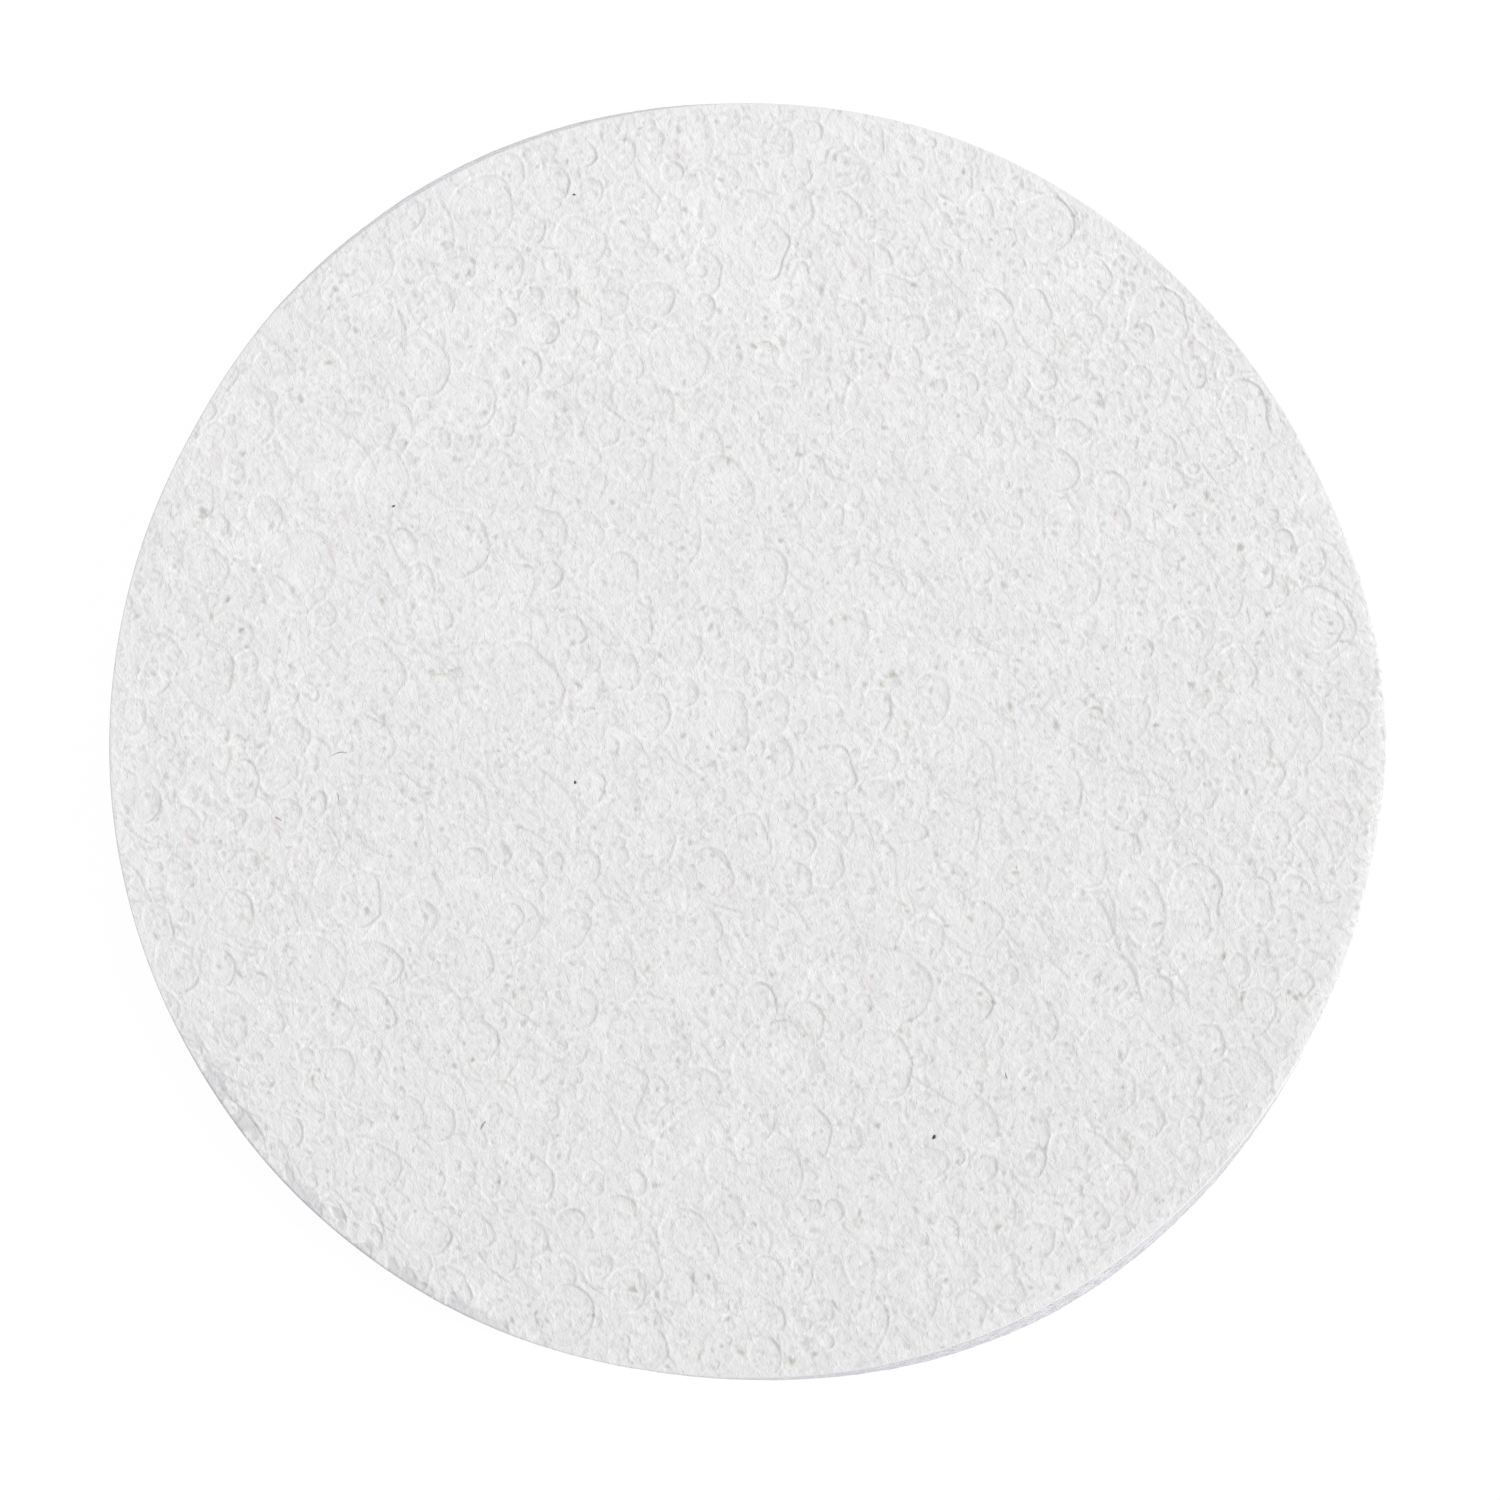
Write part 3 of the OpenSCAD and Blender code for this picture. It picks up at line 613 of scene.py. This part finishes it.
def pressed_face(seed, marked):
    """The relief of a whole face: strewn fibres, cells and bubbles, then those marked, then pinholes."""
    relief = Relief(seed)
    random = relief.random
    kept = []
    for x, y, long, short, _, _ in MARKED_CELLS if marked else []:
        kept.append((*from_photo(x, y), math.sqrt(long * short) * PX))
    for count, longest, slant, spread, width, rise in FIBRES:
        sizes = {"widest": longest * MM, "narrowest": 0.4 * longest * MM}
        for x, y, w in strewn(random, [], **sizes, tries=count, crowding=0.3):
            bow = random.normal(0, 0.12) * w
            # Creases get some painted shade, fibres none
            dark = 0.4 * random.uniform() if rise < 0 else 0
            turn = random.normal(slant, spread)
            high = rise * random.uniform(0.3, 1) * MM
            press_line(relief, x, y, w, turn, bow, width * MM, high, dark)
    for x, y, w in strewn(random, kept, widest=4.2 * MM, narrowest=1.0 * MM, tries=6000, crowding=0.84):
        stretch = random.uniform(1.0, 1.25)
        bold = random.uniform() ** 1.5
        turn = random.normal(110, 35)
        depth, clear = (0.004 + 0.018 * bold) * MM, 0.2 + 0.3 * bold
        press_cell(relief, x, y, w * stretch, w / stretch, turn, 0.6 * bold**2, depth, clear)
        press_cell_pores(relief, x, y, w)
    for x, y, w in strewn(random, [], widest=1.2 * MM, narrowest=0.4 * MM, tries=9000, crowding=1.0):
        bold = random.uniform() ** 2
        press_bubble(relief, x, y, w, depth=(0.002 + 0.014 * bold) * MM, gape=0.5 * bold)
    if marked:
        press_marked(relief)
    for x, y, w in strewn(random, [], widest=0.4 * MM, narrowest=0.14 * MM, tries=14000, crowding=1.1):
        deep = random.uniform() ** 6
        # Each pinhole's depth and its painted shade
        depth, dark = (0.004 + 0.02 * deep) * MM, 0.1 + 0.5 * deep
        press_pore(relief, x, y, w, depth, dark, dirt=random.uniform() ** 25)
    return relief


def tangle(seed, x, y):
    """The fine tangle of fibres over a face, at given places: its whole height, and its fibres' alone."""
    random = np.random.default_rng(seed)
    height = sum(rise * lumps(random, size * MM)(x, y) for size, rise in SWAYS)
    fibres = 0
    for size, width, rise, stretch in THREADS:
        fibres = fibres + rise * threads(random, size * MM, width * MM, x, y, stretch, STRANDS_TURN)
    return (height + fibres) * MM, fibres * MM


def swells(angle, bumps):
    """The sum of smooth bumps round the rim, each with its direction in degrees, height and half width."""
    return sum(high * hump(turned_from(np.degrees(angle), at), wide) for at, high, wide in bumps)


def rim_radius(angle):
    """The upper rim's radius at an angle: a circle that the die left a little uneven."""
    return RIM_R + PX * (1.5 + 3.3 * np.cos(angle) + 3.0 * np.sin(angle) + swells(angle, RIM_SWELLS))


def wall_lean(angle):
    """How far the wall stands out at the base: most at the lower right and the upper left."""
    return PX * (0.2 + swells(angle, WALL_LEANS))


def rim_round(angle):
    """The radius of the upper rim's edge: sharp, but softer on the right and where it is crushed."""
    return MM * (0.06 + swells(angle, RIM_SOFT) + 0.12 * crush(angle))


def crush(angle):
    """How much the rim is crushed, from 0 to 1: only along the lower left."""
    degrees = np.degrees(angle) % 360
    return smooth_step(202, 214, degrees) * smooth_step(258, 244, degrees)


def mesh_of(bm, name):
    """The mesh that a bmesh drew."""
    mesh = bpy.data.meshes.new(name)
    bm.to_mesh(mesh)
    bm.free()
    return mesh


def in_scene(name, data):
    """A new object of the given data, in the scene."""
    made = bpy.data.objects.new(name, data)
    bpy.context.scene.collection.objects.link(made)
    return made


def drawn_grid(bm, steps, z):
    """Adds a grid of faces over the square from -1 to 1 and gives its vertices."""
    above = Matrix.Translation((0, 0, z))
    return bmesh.ops.create_grid(bm, x_segments=steps, y_segments=steps, size=1, matrix=above)["verts"]


def unit_wall():
    """The rows of faces between the two grids' outlines, which are all that stays of them here."""
    bm = bmesh.new()
    for steps, z in ((BASE_STEPS, 0), (FACE_STEPS, 1)):
        inner = [v for v in drawn_grid(bm, steps, z) if not v.is_boundary]
        bmesh.ops.delete(bm, geom=inner, context="VERTS")
    edge = [e for e in bm.edges if e.verts[0].co.z > 0.5]
    for _ in range(WALL_ROWS):
        made = bmesh.ops.extrude_edge_only(bm, edges=edge)["geom"]
        verts = [g for g in made if isinstance(g, bmesh.types.BMVert)]
        bmesh.ops.translate(bm, vec=(0, 0, -1 / (WALL_ROWS + 1)), verts=verts)
        edge = [g for g in made if isinstance(g, bmesh.types.BMEdge) and g.is_boundary]
    bmesh.ops.bridge_loops(bm, edges=edge + [e for e in bm.edges if e.is_wire])
    bmesh.ops.recalc_face_normals(bm, faces=bm.faces)
    return mesh_of(bm, "wall")


def unit_slab():
    """A closed slab over the square from -1 to 1: a fine grid above, a coarser one below, and the wall."""
    bm = bmesh.new()
    drawn_grid(bm, BASE_STEPS, 0)
    bmesh.ops.reverse_faces(bm, faces=bm.faces)
    drawn_grid(bm, FACE_STEPS, 1)
    wall = unit_wall()
    bm.from_mesh(wall)
    bpy.data.meshes.remove(wall)
    bmesh.ops.remove_doubles(bm, verts=[v for v in bm.verts if v.is_boundary], dist=0.1 / FACE_STEPS)
    return mesh_of(bm, "konjac_disc")


def wall_noise(random, around, down):
    """Rough lumps on the cut wall, of a size round it and down it, as a function of angle and height."""
    columns = int(2 * math.pi * RIM_R / around)
    rows = int(THICK / down) + 3
    values = random.uniform(-1, 1, (rows, columns))

    def at(angle, z):
        u, v = (angle / (2 * math.pi) % 1) * columns, np.clip(z / down, 0, rows - 1.001)
        i, j = v.astype(int), u.astype(int)
        shares = smooth_step(0, 1, v - i), smooth_step(0, 1, u - j)
        return between(values, i, j % columns, (j + 1) % columns, *shares)

    return at


def drawn_out(mesh):
    """The unit slab's points drawn out to the disc's outline and section, and the row that each is in.

    The rows go round the upper rim, down the wall and round the lower rim.
    """
    spots = np.zeros(len(mesh.vertices) * 3)
    mesh.vertices.foreach_get("co", spots)
    u, v, share = spots.reshape(-1, 3).T
    x, y = u * np.sqrt(1 - v * v / 2), v * np.sqrt(1 - u * u / 2)
    out, angle = np.hypot(x, y), np.arctan2(y, x)
    row = (1 - share) * (WALL_ROWS + 1)
    round_up = rim_round(angle)
    turn_up = np.clip(row / RIM_ROWS, 0, 1) * math.pi / 2
    turn_down = np.clip((row - RIM_ROWS - SIDE_ROWS) / (BASE_ROWS + 1), 0, 1) * math.pi / 2
    down = np.clip((row - RIM_ROWS) / SIDE_ROWS, 0, 1)
    edge = rim_radius(angle) - round_up * (1 - np.sin(turn_up)) + wall_lean(angle) * down
    edge -= BASE_ROUND * (1 - np.cos(turn_down))
    z = THICK - round_up * (1 - np.cos(turn_up)) - (THICK - round_up - BASE_ROUND) * down
    z -= BASE_ROUND * np.sin(turn_down)
    return out * RIM_R + (edge - RIM_R) * out**8, angle, z, row


def rough_wall(row, angle, z):
    """How far the cut wall's own roughness stands out."""
    random = np.random.default_rng(WALL_SEED)
    rough = 0
    for around, tall, far in WALL_LUMPS:
        rough = rough + far * MM * wall_noise(random, around * MM, tall * MM)(angle, z)
    return rough * np.clip(np.minimum(row - RIM_ROWS, WALL_ROWS - row) / 3, 0, 1)


def sponge():
    """The disc: the unit slab drawn out to its outline and section, with both faces' relief pressed in."""
    mesh = unit_slab()
    r, angle, z, row = drawn_out(mesh)
    x, y = r * np.cos(angle), r * np.sin(angle)
    top, base = row < 0.5, row > WALL_ROWS + 0.5
    upper_half = row < (WALL_ROWS + 1) / 2

    upper = pressed_face(UPPER_SEED, marked=True)
    lower = pressed_face(LOWER_SEED, marked=False)
    on_top, on_base = row <= 2 * RIM_ROWS, row >= WALL_ROWS - BASE_ROWS
    drop, rise = np.zeros_like(z), np.zeros_like(z)
    painted_light_and_tone = np.zeros_like(z)
    faces = (on_top, upper, drop, UPPER_TANGLE_SEED), (on_base, lower, rise, LOWER_TANGLE_SEED)
    for there, relief, level, seed in faces:
        fine, fibres = tangle(seed, x[there], y[there])
        level[there] = relief.sample(relief.height, x[there], y[there]) + fine
        # Painted shade in hollows, and painted highlight on raised places and fibres
        painted_light_and_tone[there] = (relief.sample(relief.cavity(), x[there], y[there]) + FIBRE_PAINTED_LIGHT * fibres) / CAVITY_SHADE_DEPTH
    painted_light_and_tone = np.where(painted_light_and_tone > 0, RAISED_HIGHLIGHT_SHARE * painted_light_and_tone, painted_light_and_tone)

    # The cells that the crushed rim laid open, with painted shade in them and in the crushed band and a
    # painted highlight round their rims, and the smooth skin along the rest of the rim
    inside = rim_radius(angle) - r
    random = np.random.default_rng(PATCH_SEED)
    uneven = 0.3 * MM * lumps(random, 0.7 * MM)(x, y)
    crushed = crush(angle) * smooth_step(1.0 * MM, 0.55 * MM, inside + uneven) * upper_half
    open_cells = smooth_step(-0.4, -0.1, lumps(random, 0.9 * MM)(x, y)) * crushed
    smooth = smooth_step(SMOOTH_REACH, 0, inside) * (0.5 + swells(angle, RIM_SMOOTH)) * (1 - crushed)
    drop = drop * (1 - smooth) - OPEN_DEPTH * open_cells
    painted_light_and_tone *= 1 - smooth
    painted_light_and_tone += 0.8 * crushed * hump(open_cells - 0.2, 0.2) - 0.35 * crushed - 0.7 * open_cells
    # Broad random patches, painted shade a little greyer towards the lower right, and a pale painted
    # highlight along the upper rim
    painted_light_and_tone += 0.03 * lumps(random, 9 * MM)(x, y) - 0.02 - 0.13 * (0.34 * x - 0.94 * y) / RIM_R
    painted_light_and_tone += hump(inside - 0.33 * MM, 0.38 * MM) * swells(angle, RIM_HIGHLIGHTS) * upper_half
    # On the cut wall the marks give way to painted light and shade that changes round the wall
    cut = smooth_step(1, RIM_ROWS + 1, row) * smooth_step(WALL_ROWS + 1, WALL_ROWS - 1, row)
    painted_light_and_tone = painted_light_and_tone * (1 - cut) + swells(angle, WALL_PAINTED_LIGHT) * cut
    rise = np.clip(rise - rise.max(), -0.25 * MM, 0)
    z += drop * np.where(top, 1, np.clip(1 - row / (2 * RIM_ROWS), 0, 1))
    z -= rise * np.where(base, 1, np.clip(1 - (WALL_ROWS + 1 - row) / (2 * BASE_ROWS), 0, 1))
    r += rough_wall(row, angle, z)
    x, y = r * np.cos(angle), r * np.sin(angle)

    mesh.vertices.foreach_set("co", np.stack([x, y, z], axis=1).ravel())
    mesh.polygons.foreach_set("use_smooth", np.ones(len(mesh.polygons), bool))
    below = np.where(base, lower.sample(lower.crevice_shade, x, y), 0)
    # Painted light and tone, painted crevice shade, dirt, blush and where the wall is
    masks = {
        "crevice_shade": np.where(top, upper.sample(upper.crevice_shade, x, y), below) * (1 - smooth),
        "painted_light_and_tone": np.clip(painted_light_and_tone, -2, 2),
        "blush": np.where(top, upper.sample(upper.blush, x, y), 0),
        "stain": np.where(top, upper.sample(upper.stain, x, y), 0),
        # The wall's mask also gives the open cells part of the wall's painted fill light
        "wall": np.maximum(0.4 * open_cells, cut),
    }
    for name in MARKS:
        values = masks[name]
        mesh.attributes.new(name, "FLOAT", "POINT").data.foreach_set("value", values.astype(np.float32))
    mesh.update()
    return mesh, upper


def add(tree, kind, sockets=None, **settings):
    """A shader node, with its settings and with values or links for its sockets."""
    made = tree.nodes.new("ShaderNode" + kind)
    for name, value in settings.items():
        setattr(made, name, value)
    for name, value in (sockets or {}).items():
        if isinstance(value, bpy.types.NodeSocket):
            tree.links.new(value, made.inputs[name])
        else:
            made.inputs[name].default_value = value
    return made


def maths(tree, operation, a, b=0.0, c=0.0):
    return add(tree, "Math", {0: a, 1: b, 2: c}, operation=operation).outputs[0]


def blend_colour(tree, share, a, b, blend_type="MIX"):
    made = add(tree, "Mix", {0: share, 6: a, 7: b}, data_type="RGBA", blend_type=blend_type)
    return made.outputs[2]


def ranged(tree, value, low, high, to_low=0.0, to_high=1.0):
    sockets = {"Value": value, "From Min": low, "From Max": high, "To Min": to_low, "To Max": to_high}
    return add(tree, "MapRange", sockets).outputs[0]


def group(name, inputs, outputs):
    """An empty shader node group with its named sockets, and its input and output nodes."""
    tree = bpy.data.node_groups.new(name, "ShaderNodeTree")
    for direction, sockets in (("INPUT", inputs), ("OUTPUT", outputs)):
        for socket, kind in sockets.items():
            tree.interface.new_socket(name=socket, in_out=direction, socket_type="NodeSocket" + kind)
    return tree, tree.nodes.new("NodeGroupInput").outputs, tree.nodes.new("NodeGroupOutput").inputs


def group_node(tree, made, sockets):
    """A node group placed in a material, with its values and links."""
    return add(tree, "Group", sockets, node_tree=made).outputs


def line_height(tree, where, size, width):
    """Thin lines, from 0 to 1, that wind between lumps of the given size, both in metres."""
    sockets = {"Vector": where, "Scale": 1 / size, "Detail": 0.0, "Distortion": 0.6}
    lumpy = add(tree, "TexNoise", sockets).outputs[0]
    off = maths(tree, "ABSOLUTE", maths(tree, "SUBTRACT", lumpy, 0.5))
    return ranged(tree, off, 0.0, width / size, 1.0, 0.0)


def grain_group():
    """Dried konjac close up: the height of fibres and pinholes, a tone that drifts, and the pinholes."""
    outputs = {"Height": "Float", "Drift": "Float", "Pores": "Float"}
    tree, given, result = group("dried_grain", {"Vector": "Vector"}, outputs)
    where = given["Vector"]
    # Turned and drawn out along the way that most fibres run in
    along = {"Vector": where, "Rotation": (0.0, 0.0, math.radians(FINE_TURN)), "Scale": (1.25, 0.85, 1.0)}
    drawn = add(tree, "Mapping", along, vector_type="TEXTURE").outputs[0]
    height = 0.0
    for size, width, rise in FINE_LINES:
        line = line_height(tree, drawn, size * MM, width * MM)
        height = maths(tree, "MULTIPLY_ADD", line, rise * MM, height)
    grit = add(tree, "TexNoise", {"Vector": where, "Scale": 1 / (0.12 * MM), "Detail": 1.0}).outputs[0]
    height = maths(tree, "MULTIPLY_ADD", grit, 0.005 * MM, height)
    # Pinholes drawn out along the fibres, of uneven widths, in some of the cells of a random pattern
    size = 0.45 * MM
    dots = add(tree, "TexVoronoi", {"Vector": drawn, "Scale": 1 / size}, feature="F1").outputs
    chance = add(tree, "SeparateColor", {0: dots["Color"]}).outputs[0]
    reach = ranged(tree, chance, 0.35, 1.0, 0.0, 0.11 * MM / size)
    share = maths(tree, "DIVIDE", dots["Distance"], maths(tree, "MAXIMUM", reach, 0.001))
    hole = ranged(tree, maths(tree, "SUBTRACT", 1.0, share), 0.0, 0.5)
    height = maths(tree, "MULTIPLY_ADD", hole, -0.008 * MM, height)
    tree.links.new(hole, result["Pores"])
    drift = add(tree, "TexNoise", {"Vector": where, "Scale": 1 / (2 * MM), "Detail": 4.0, "Roughness": 0.6})
    tree.links.new(height, result["Height"])
    tree.links.new(drift.outputs[0], result["Drift"])
    return tree


def cut_group():
    """Foam that the die cut: thin walls round sunk cells that the press squeezed flat, which come and go."""
    tree, given, result = group("cut_foam", {"Vector": "Vector"}, {"Height": "Float", "Cells": "Float"})
    squeezed = add(tree, "Mapping", {"Vector": given["Vector"], "Scale": (1.0, 1.0, 2.5)}).outputs[0]
    size = 0.5 * MM
    edge = add(tree, "TexVoronoi", {"Vector": squeezed, "Scale": 1 / size}, feature="DISTANCE_TO_EDGE")
    inside = ranged(tree, edge.outputs["Distance"], 0.02, 0.16)
    lumpy = add(tree, "TexNoise", {"Vector": squeezed, "Scale": 0.7 / size, "Detail": 0.0}).outputs[0]
    cells = maths(tree, "MULTIPLY", inside, ranged(tree, lumpy, 0.35, 0.6, 0.2, 1.0))
    tree.links.new(maths(tree, "MULTIPLY", cells, -0.05 * MM), result["Height"])
    tree.links.new(cells, result["Cells"])
    return tree


def material(name):
    made = bpy.data.materials.new(name)
    made.use_nodes = True
    tree = made.node_tree
    tree.nodes.clear()
    return made, tree


def finish_material(tree, sockets):
    shader = add(tree, "BsdfPrincipled", sockets)
    add(tree, "OutputMaterial", {"Surface": shader.outputs[0]})


def konjac_foam(grain, cut):
    """Dried konjac foam: near-white and matt, with painted shade and highlights from its marks, tan where a
    pore holds plant matter.
    """
    made, tree = material("konjac_foam")
    where = add(tree, "TexCoord").outputs["Object"]
    mask = {n: add(tree, "Attribute", attribute_name=n).outputs["Fac"] for n in MARKS}
    fine = group_node(tree, grain, {"Vector": where})
    opened = group_node(tree, cut, {"Vector": where})
    drift = ranged(tree, fine["Drift"], 0.35, 0.65)
    tints = blend_colour(tree, drift, FOAM_COOL, FOAM_WARM)
    # The cut wall and the crushed rim's open cells are paler and bluish: painted fill light
    walls_with_fill_light = blend_colour(tree, mask["wall"], tints, CUT_WALL_FILL_TINT)
    # Painted shade and highlight from the disc's marks, with its random broad patches
    level = ranged(tree, mask["painted_light_and_tone"], -2.0, 2.0, 0.72, 1.28)
    grey = add(tree, "CombineColor", {0: level, 1: level, 2: level}).outputs[0]
    painted_light_toned = blend_colour(tree, 1.0, walls_with_fill_light, grey, "MULTIPLY")
    # Painted shade in crevices, creases and pits
    shaded = blend_colour(tree, mask["crevice_shade"], painted_light_toned, CREVICE_SHADE_GREY)
    # Painted shade in the finish's pinholes
    pinhole_shaded = blend_colour(tree, maths(tree, "MULTIPLY", fine["Pores"], 0.45), shaded, PINHOLE_SHADE_GREY)
    blushed = blend_colour(tree, mask["blush"], pinhole_shaded, BLUSH_TINT, "MULTIPLY")
    side = ranged(tree, mask["wall"], 0.85, 1.0)
    # Painted shade in the cut wall's sliced cells
    sliced_cell_shade = maths(tree, "MULTIPLY", opened["Cells"], side)
    sliced_cell_shade = blend_colour(tree, sliced_cell_shade, blushed, SLICED_CELL_SHADE, "MULTIPLY")
    soiled = blend_colour(tree, mask["stain"], sliced_cell_shade, DIRT_TAN)
    # The die pressed the wall's finest fibres down
    calm = maths(tree, "MULTIPLY", fine["Height"], ranged(tree, mask["wall"], 0.0, 1.0, 1.0, 0.4))
    height = maths(tree, "MULTIPLY_ADD", opened["Height"], side, calm)
    bump = add(tree, "Bump", {"Strength": 1.0, "Distance": 1.0, "Height": height})
    sockets = {"Base Color": soiled, "Roughness": 0.85, "Specular IOR Level": 0.2}
    finish_material(tree, {**sockets, "Normal": bump.outputs[0]})
    return made


def plain_plant(name, dark, pale, grain):
    """Dried plant matter: dark, with paler streaks."""
    made, tree = material(name)
    where = add(tree, "TexCoord").outputs["Object"]
    fine = group_node(tree, grain, {"Vector": where})
    tints = blend_colour(tree, ranged(tree, fine["Height"], 0.0, 0.00001), dark, pale)
    bump = add(tree, "Bump", {"Strength": 1.0, "Distance": 1.0, "Height": fine["Height"]})
    finish_material(tree, {"Base Color": tints, "Roughness": 0.7, "Normal": bump.outputs[0]})
    return made


def piece(name, mesh, finish, slot, *replaced):
    """A finished piece of the disc's own body, in the scene."""
    made = in_scene(name, mesh)
    mesh.materials.append(finish)
    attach(made, "root")
    if replaced:
        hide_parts(*replaced)
    return made


def surface(relief, x, y):
    """The upper face's height at a place."""
    return THICK + float(relief.sample(relief.height, np.array([x]), np.array([y]))[0])


def flecks(relief):
    """Crumbs of the corm's skin, half sunk in the face."""
    bm = bmesh.new()
    for x, y, length, turn in FLECKS:
        cx, cy = from_photo(x, y)
        size = length * PX
        place = Matrix.Translation((cx, cy, surface(relief, cx, cy) + FLECK_RISE))
        place = place @ Matrix.Rotation(math.radians(turn), 4, "Z")
        shape = Matrix.Diagonal((size / 2, size * 0.3, 0.05 * MM, 1))
        for v in bmesh.ops.create_icosphere(bm, subdivisions=3, radius=1, matrix=shape)["verts"]:
            v.co *= 1 + 0.35 * noise.noise(v.co / (0.1 * MM) + Vector((x, y, 0)))
            v.co = place @ v.co
    return mesh_of(bm, "flecks")


def hairs(relief):
    """Bast hairs: thin tapered threads, each in an even bend that follows the face."""
    bm = bmesh.new()
    for x, y, span, turn in HAIRS:
        cx, cy = from_photo(x, y)
        edge = None
        for k in range(HAIR_STEPS + 1):
            a = math.radians(turn - span / 2 + span * k / HAIR_STEPS)
            px = cx + HAIR_BEND_R * (math.cos(a) - math.cos(math.radians(turn)))
            py = cy + HAIR_BEND_R * (math.sin(a) - math.sin(math.radians(turn)))
            thin = 0.35 + 0.65 * math.sin(math.pi * k / HAIR_STEPS)
            place = Matrix.Translation((px, py, surface(relief, px, py) + HAIR_RISE))
            place = place @ Matrix.Rotation(a, 4, "Z") @ Matrix.Rotation(math.pi / 2, 4, "X")
            place = place @ Matrix.Scale(thin, 4)
            if edge is None:
                disc = {"cap_ends": True, "segments": 6, "radius": HAIR_THICK / 2, "matrix": place}
                ring = bmesh.ops.create_circle(bm, **disc)["verts"]
                edge = list({e for v in ring for e in v.link_edges})
            else:
                made = bmesh.ops.extrude_edge_only(bm, edges=edge)["geom"]
                ring = [g for g in made if isinstance(g, bmesh.types.BMVert)]
                edge = [g for g in made if isinstance(g, bmesh.types.BMEdge) and g.is_boundary]
                bmesh.ops.transform(bm, matrix=place @ before.inverted(), verts=ring)
            before = place
        bmesh.ops.holes_fill(bm, edges=edge, sides=6)
    bmesh.ops.recalc_face_normals(bm, faces=bm.faces)
    return mesh_of(bm, "hairs")


def white_for_camera(tree, plain, shown):
    """A value that is one thing for light and another for what is seen, straight or in a reflection."""
    rays = add(tree, "LightPath").outputs
    seen = maths(tree, "MAXIMUM", rays["Is Camera Ray"], rays["Is Glossy Ray"])
    seen = maths(tree, "MAXIMUM", seen, rays["Is Transmission Ray"])
    return ranged(tree, seen, 0.0, 1.0, plain, shown)


def stage():
    """A plain white floor that keeps a faint shadow."""
    bm = bmesh.new()
    bmesh.ops.create_grid(bm, x_segments=8, y_segments=8, size=4.0)
    floor = in_scene("floor", mesh_of(bm, "floor"))
    made, tree = material("floor_white")
    grey = white_for_camera(tree, plain=0.85, shown=0.06)
    glow = white_for_camera(tree, plain=0.0, shown=0.96)
    colour = add(tree, "CombineColor", {0: grey, 1: grey, 2: grey}).outputs[0]
    matt = add(tree, "BsdfDiffuse", {"Color": colour})
    light = add(tree, "Emission", {"Strength": glow})
    both = add(tree, "AddShader", {0: matt.outputs[0], 1: light.outputs[0]})
    add(tree, "OutputMaterial", {"Surface": both.outputs[0]})
    floor.data.materials.append(made)


def softbox(name, azimuth, elevation, distance, size, level):
    """A round lamp aimed at the disc, which lights its face at the given level."""
    lamp = bpy.data.lights.new(name, "AREA")
    lamp.shape = "DISK"
    lamp.size = size
    lamp.energy = level * math.pi**2 * distance**2 / math.sin(math.radians(elevation))
    made = in_scene(name, lamp)
    toward = Vector((1, 0, 0))
    toward.rotate(Matrix.Rotation(-math.radians(elevation), 3, "Y"))
    toward.rotate(Matrix.Rotation(math.radians(azimuth), 3, "Z"))
    made.location = toward * distance
    made.rotation_euler = toward.to_track_quat("Z", "Y").to_euler()


def lights():
    """A soft lamp from the right and above, a weak one near the top, and an even white room."""
    world = bpy.data.worlds.new("room")
    bpy.context.scene.world = world
    world.use_nodes = True
    tree = world.node_tree
    tree.nodes.clear()
    glow = white_for_camera(tree, plain=0.525, shown=1.0)
    room = add(tree, "Background", {"Color": (1, 1, 1, 1), "Strength": glow})
    add(tree, "OutputWorld", {"Surface": room.outputs[0]})
    softbox("softbox", azimuth=-8, elevation=37, distance=4.0, size=1.4, level=0.43)
    softbox("fill", azimuth=95, elevation=50, distance=0.35, size=0.2, level=0.085)


def camera():
    """A long lens nearly straight above, leaning a little towards the photograph's lower right."""
    lean, turn = math.radians(CAMERA_LEAN), math.radians(CAMERA_TURN)
    back = Vector((math.sin(lean) * math.cos(turn), math.sin(lean) * math.sin(turn), math.cos(lean)))
    across = Vector((0, 1, 0)).cross(back).normalized()
    lens = bpy.data.cameras.new("camera")
    lens.sensor_fit = "HORIZONTAL"
    lens.angle = 2 * math.atan(FRAME_PX / 2 * PX / CAMERA_FAR)
    lens.clip_start = 0.01
    made = in_scene("camera", lens)
    aim = Vector((*from_photo(FRAME_PX / 2, FRAME_PX / 2), THICK))
    facing = Matrix((across, back.cross(across), back)).transposed()
    made.matrix_world = Matrix.Translation(aim + back * CAMERA_FAR) @ facing.to_4x4()
    bpy.context.scene.camera = made


bpy.context.scene.view_settings.view_transform = "Standard"
camera()
lights()
stage()
grain = grain_group()
foam, upper = sponge()
disc = piece("konjac_disc", foam, konjac_foam(grain, cut_group()), "konjac_foam", "sponge_disc")
skin = plain_plant("plant_skin", SKIN_DARK, SKIN_PALE, grain)
piece("skin_crumbs", flecks(upper), skin, "plant_skin", "skin_flecks")
hair = plain_plant("plant_hair", HAIR_DARK, HAIR_PALE, grain)
piece("bast_hairs", hairs(upper), hair, "plant_hair", "plant_hairs")
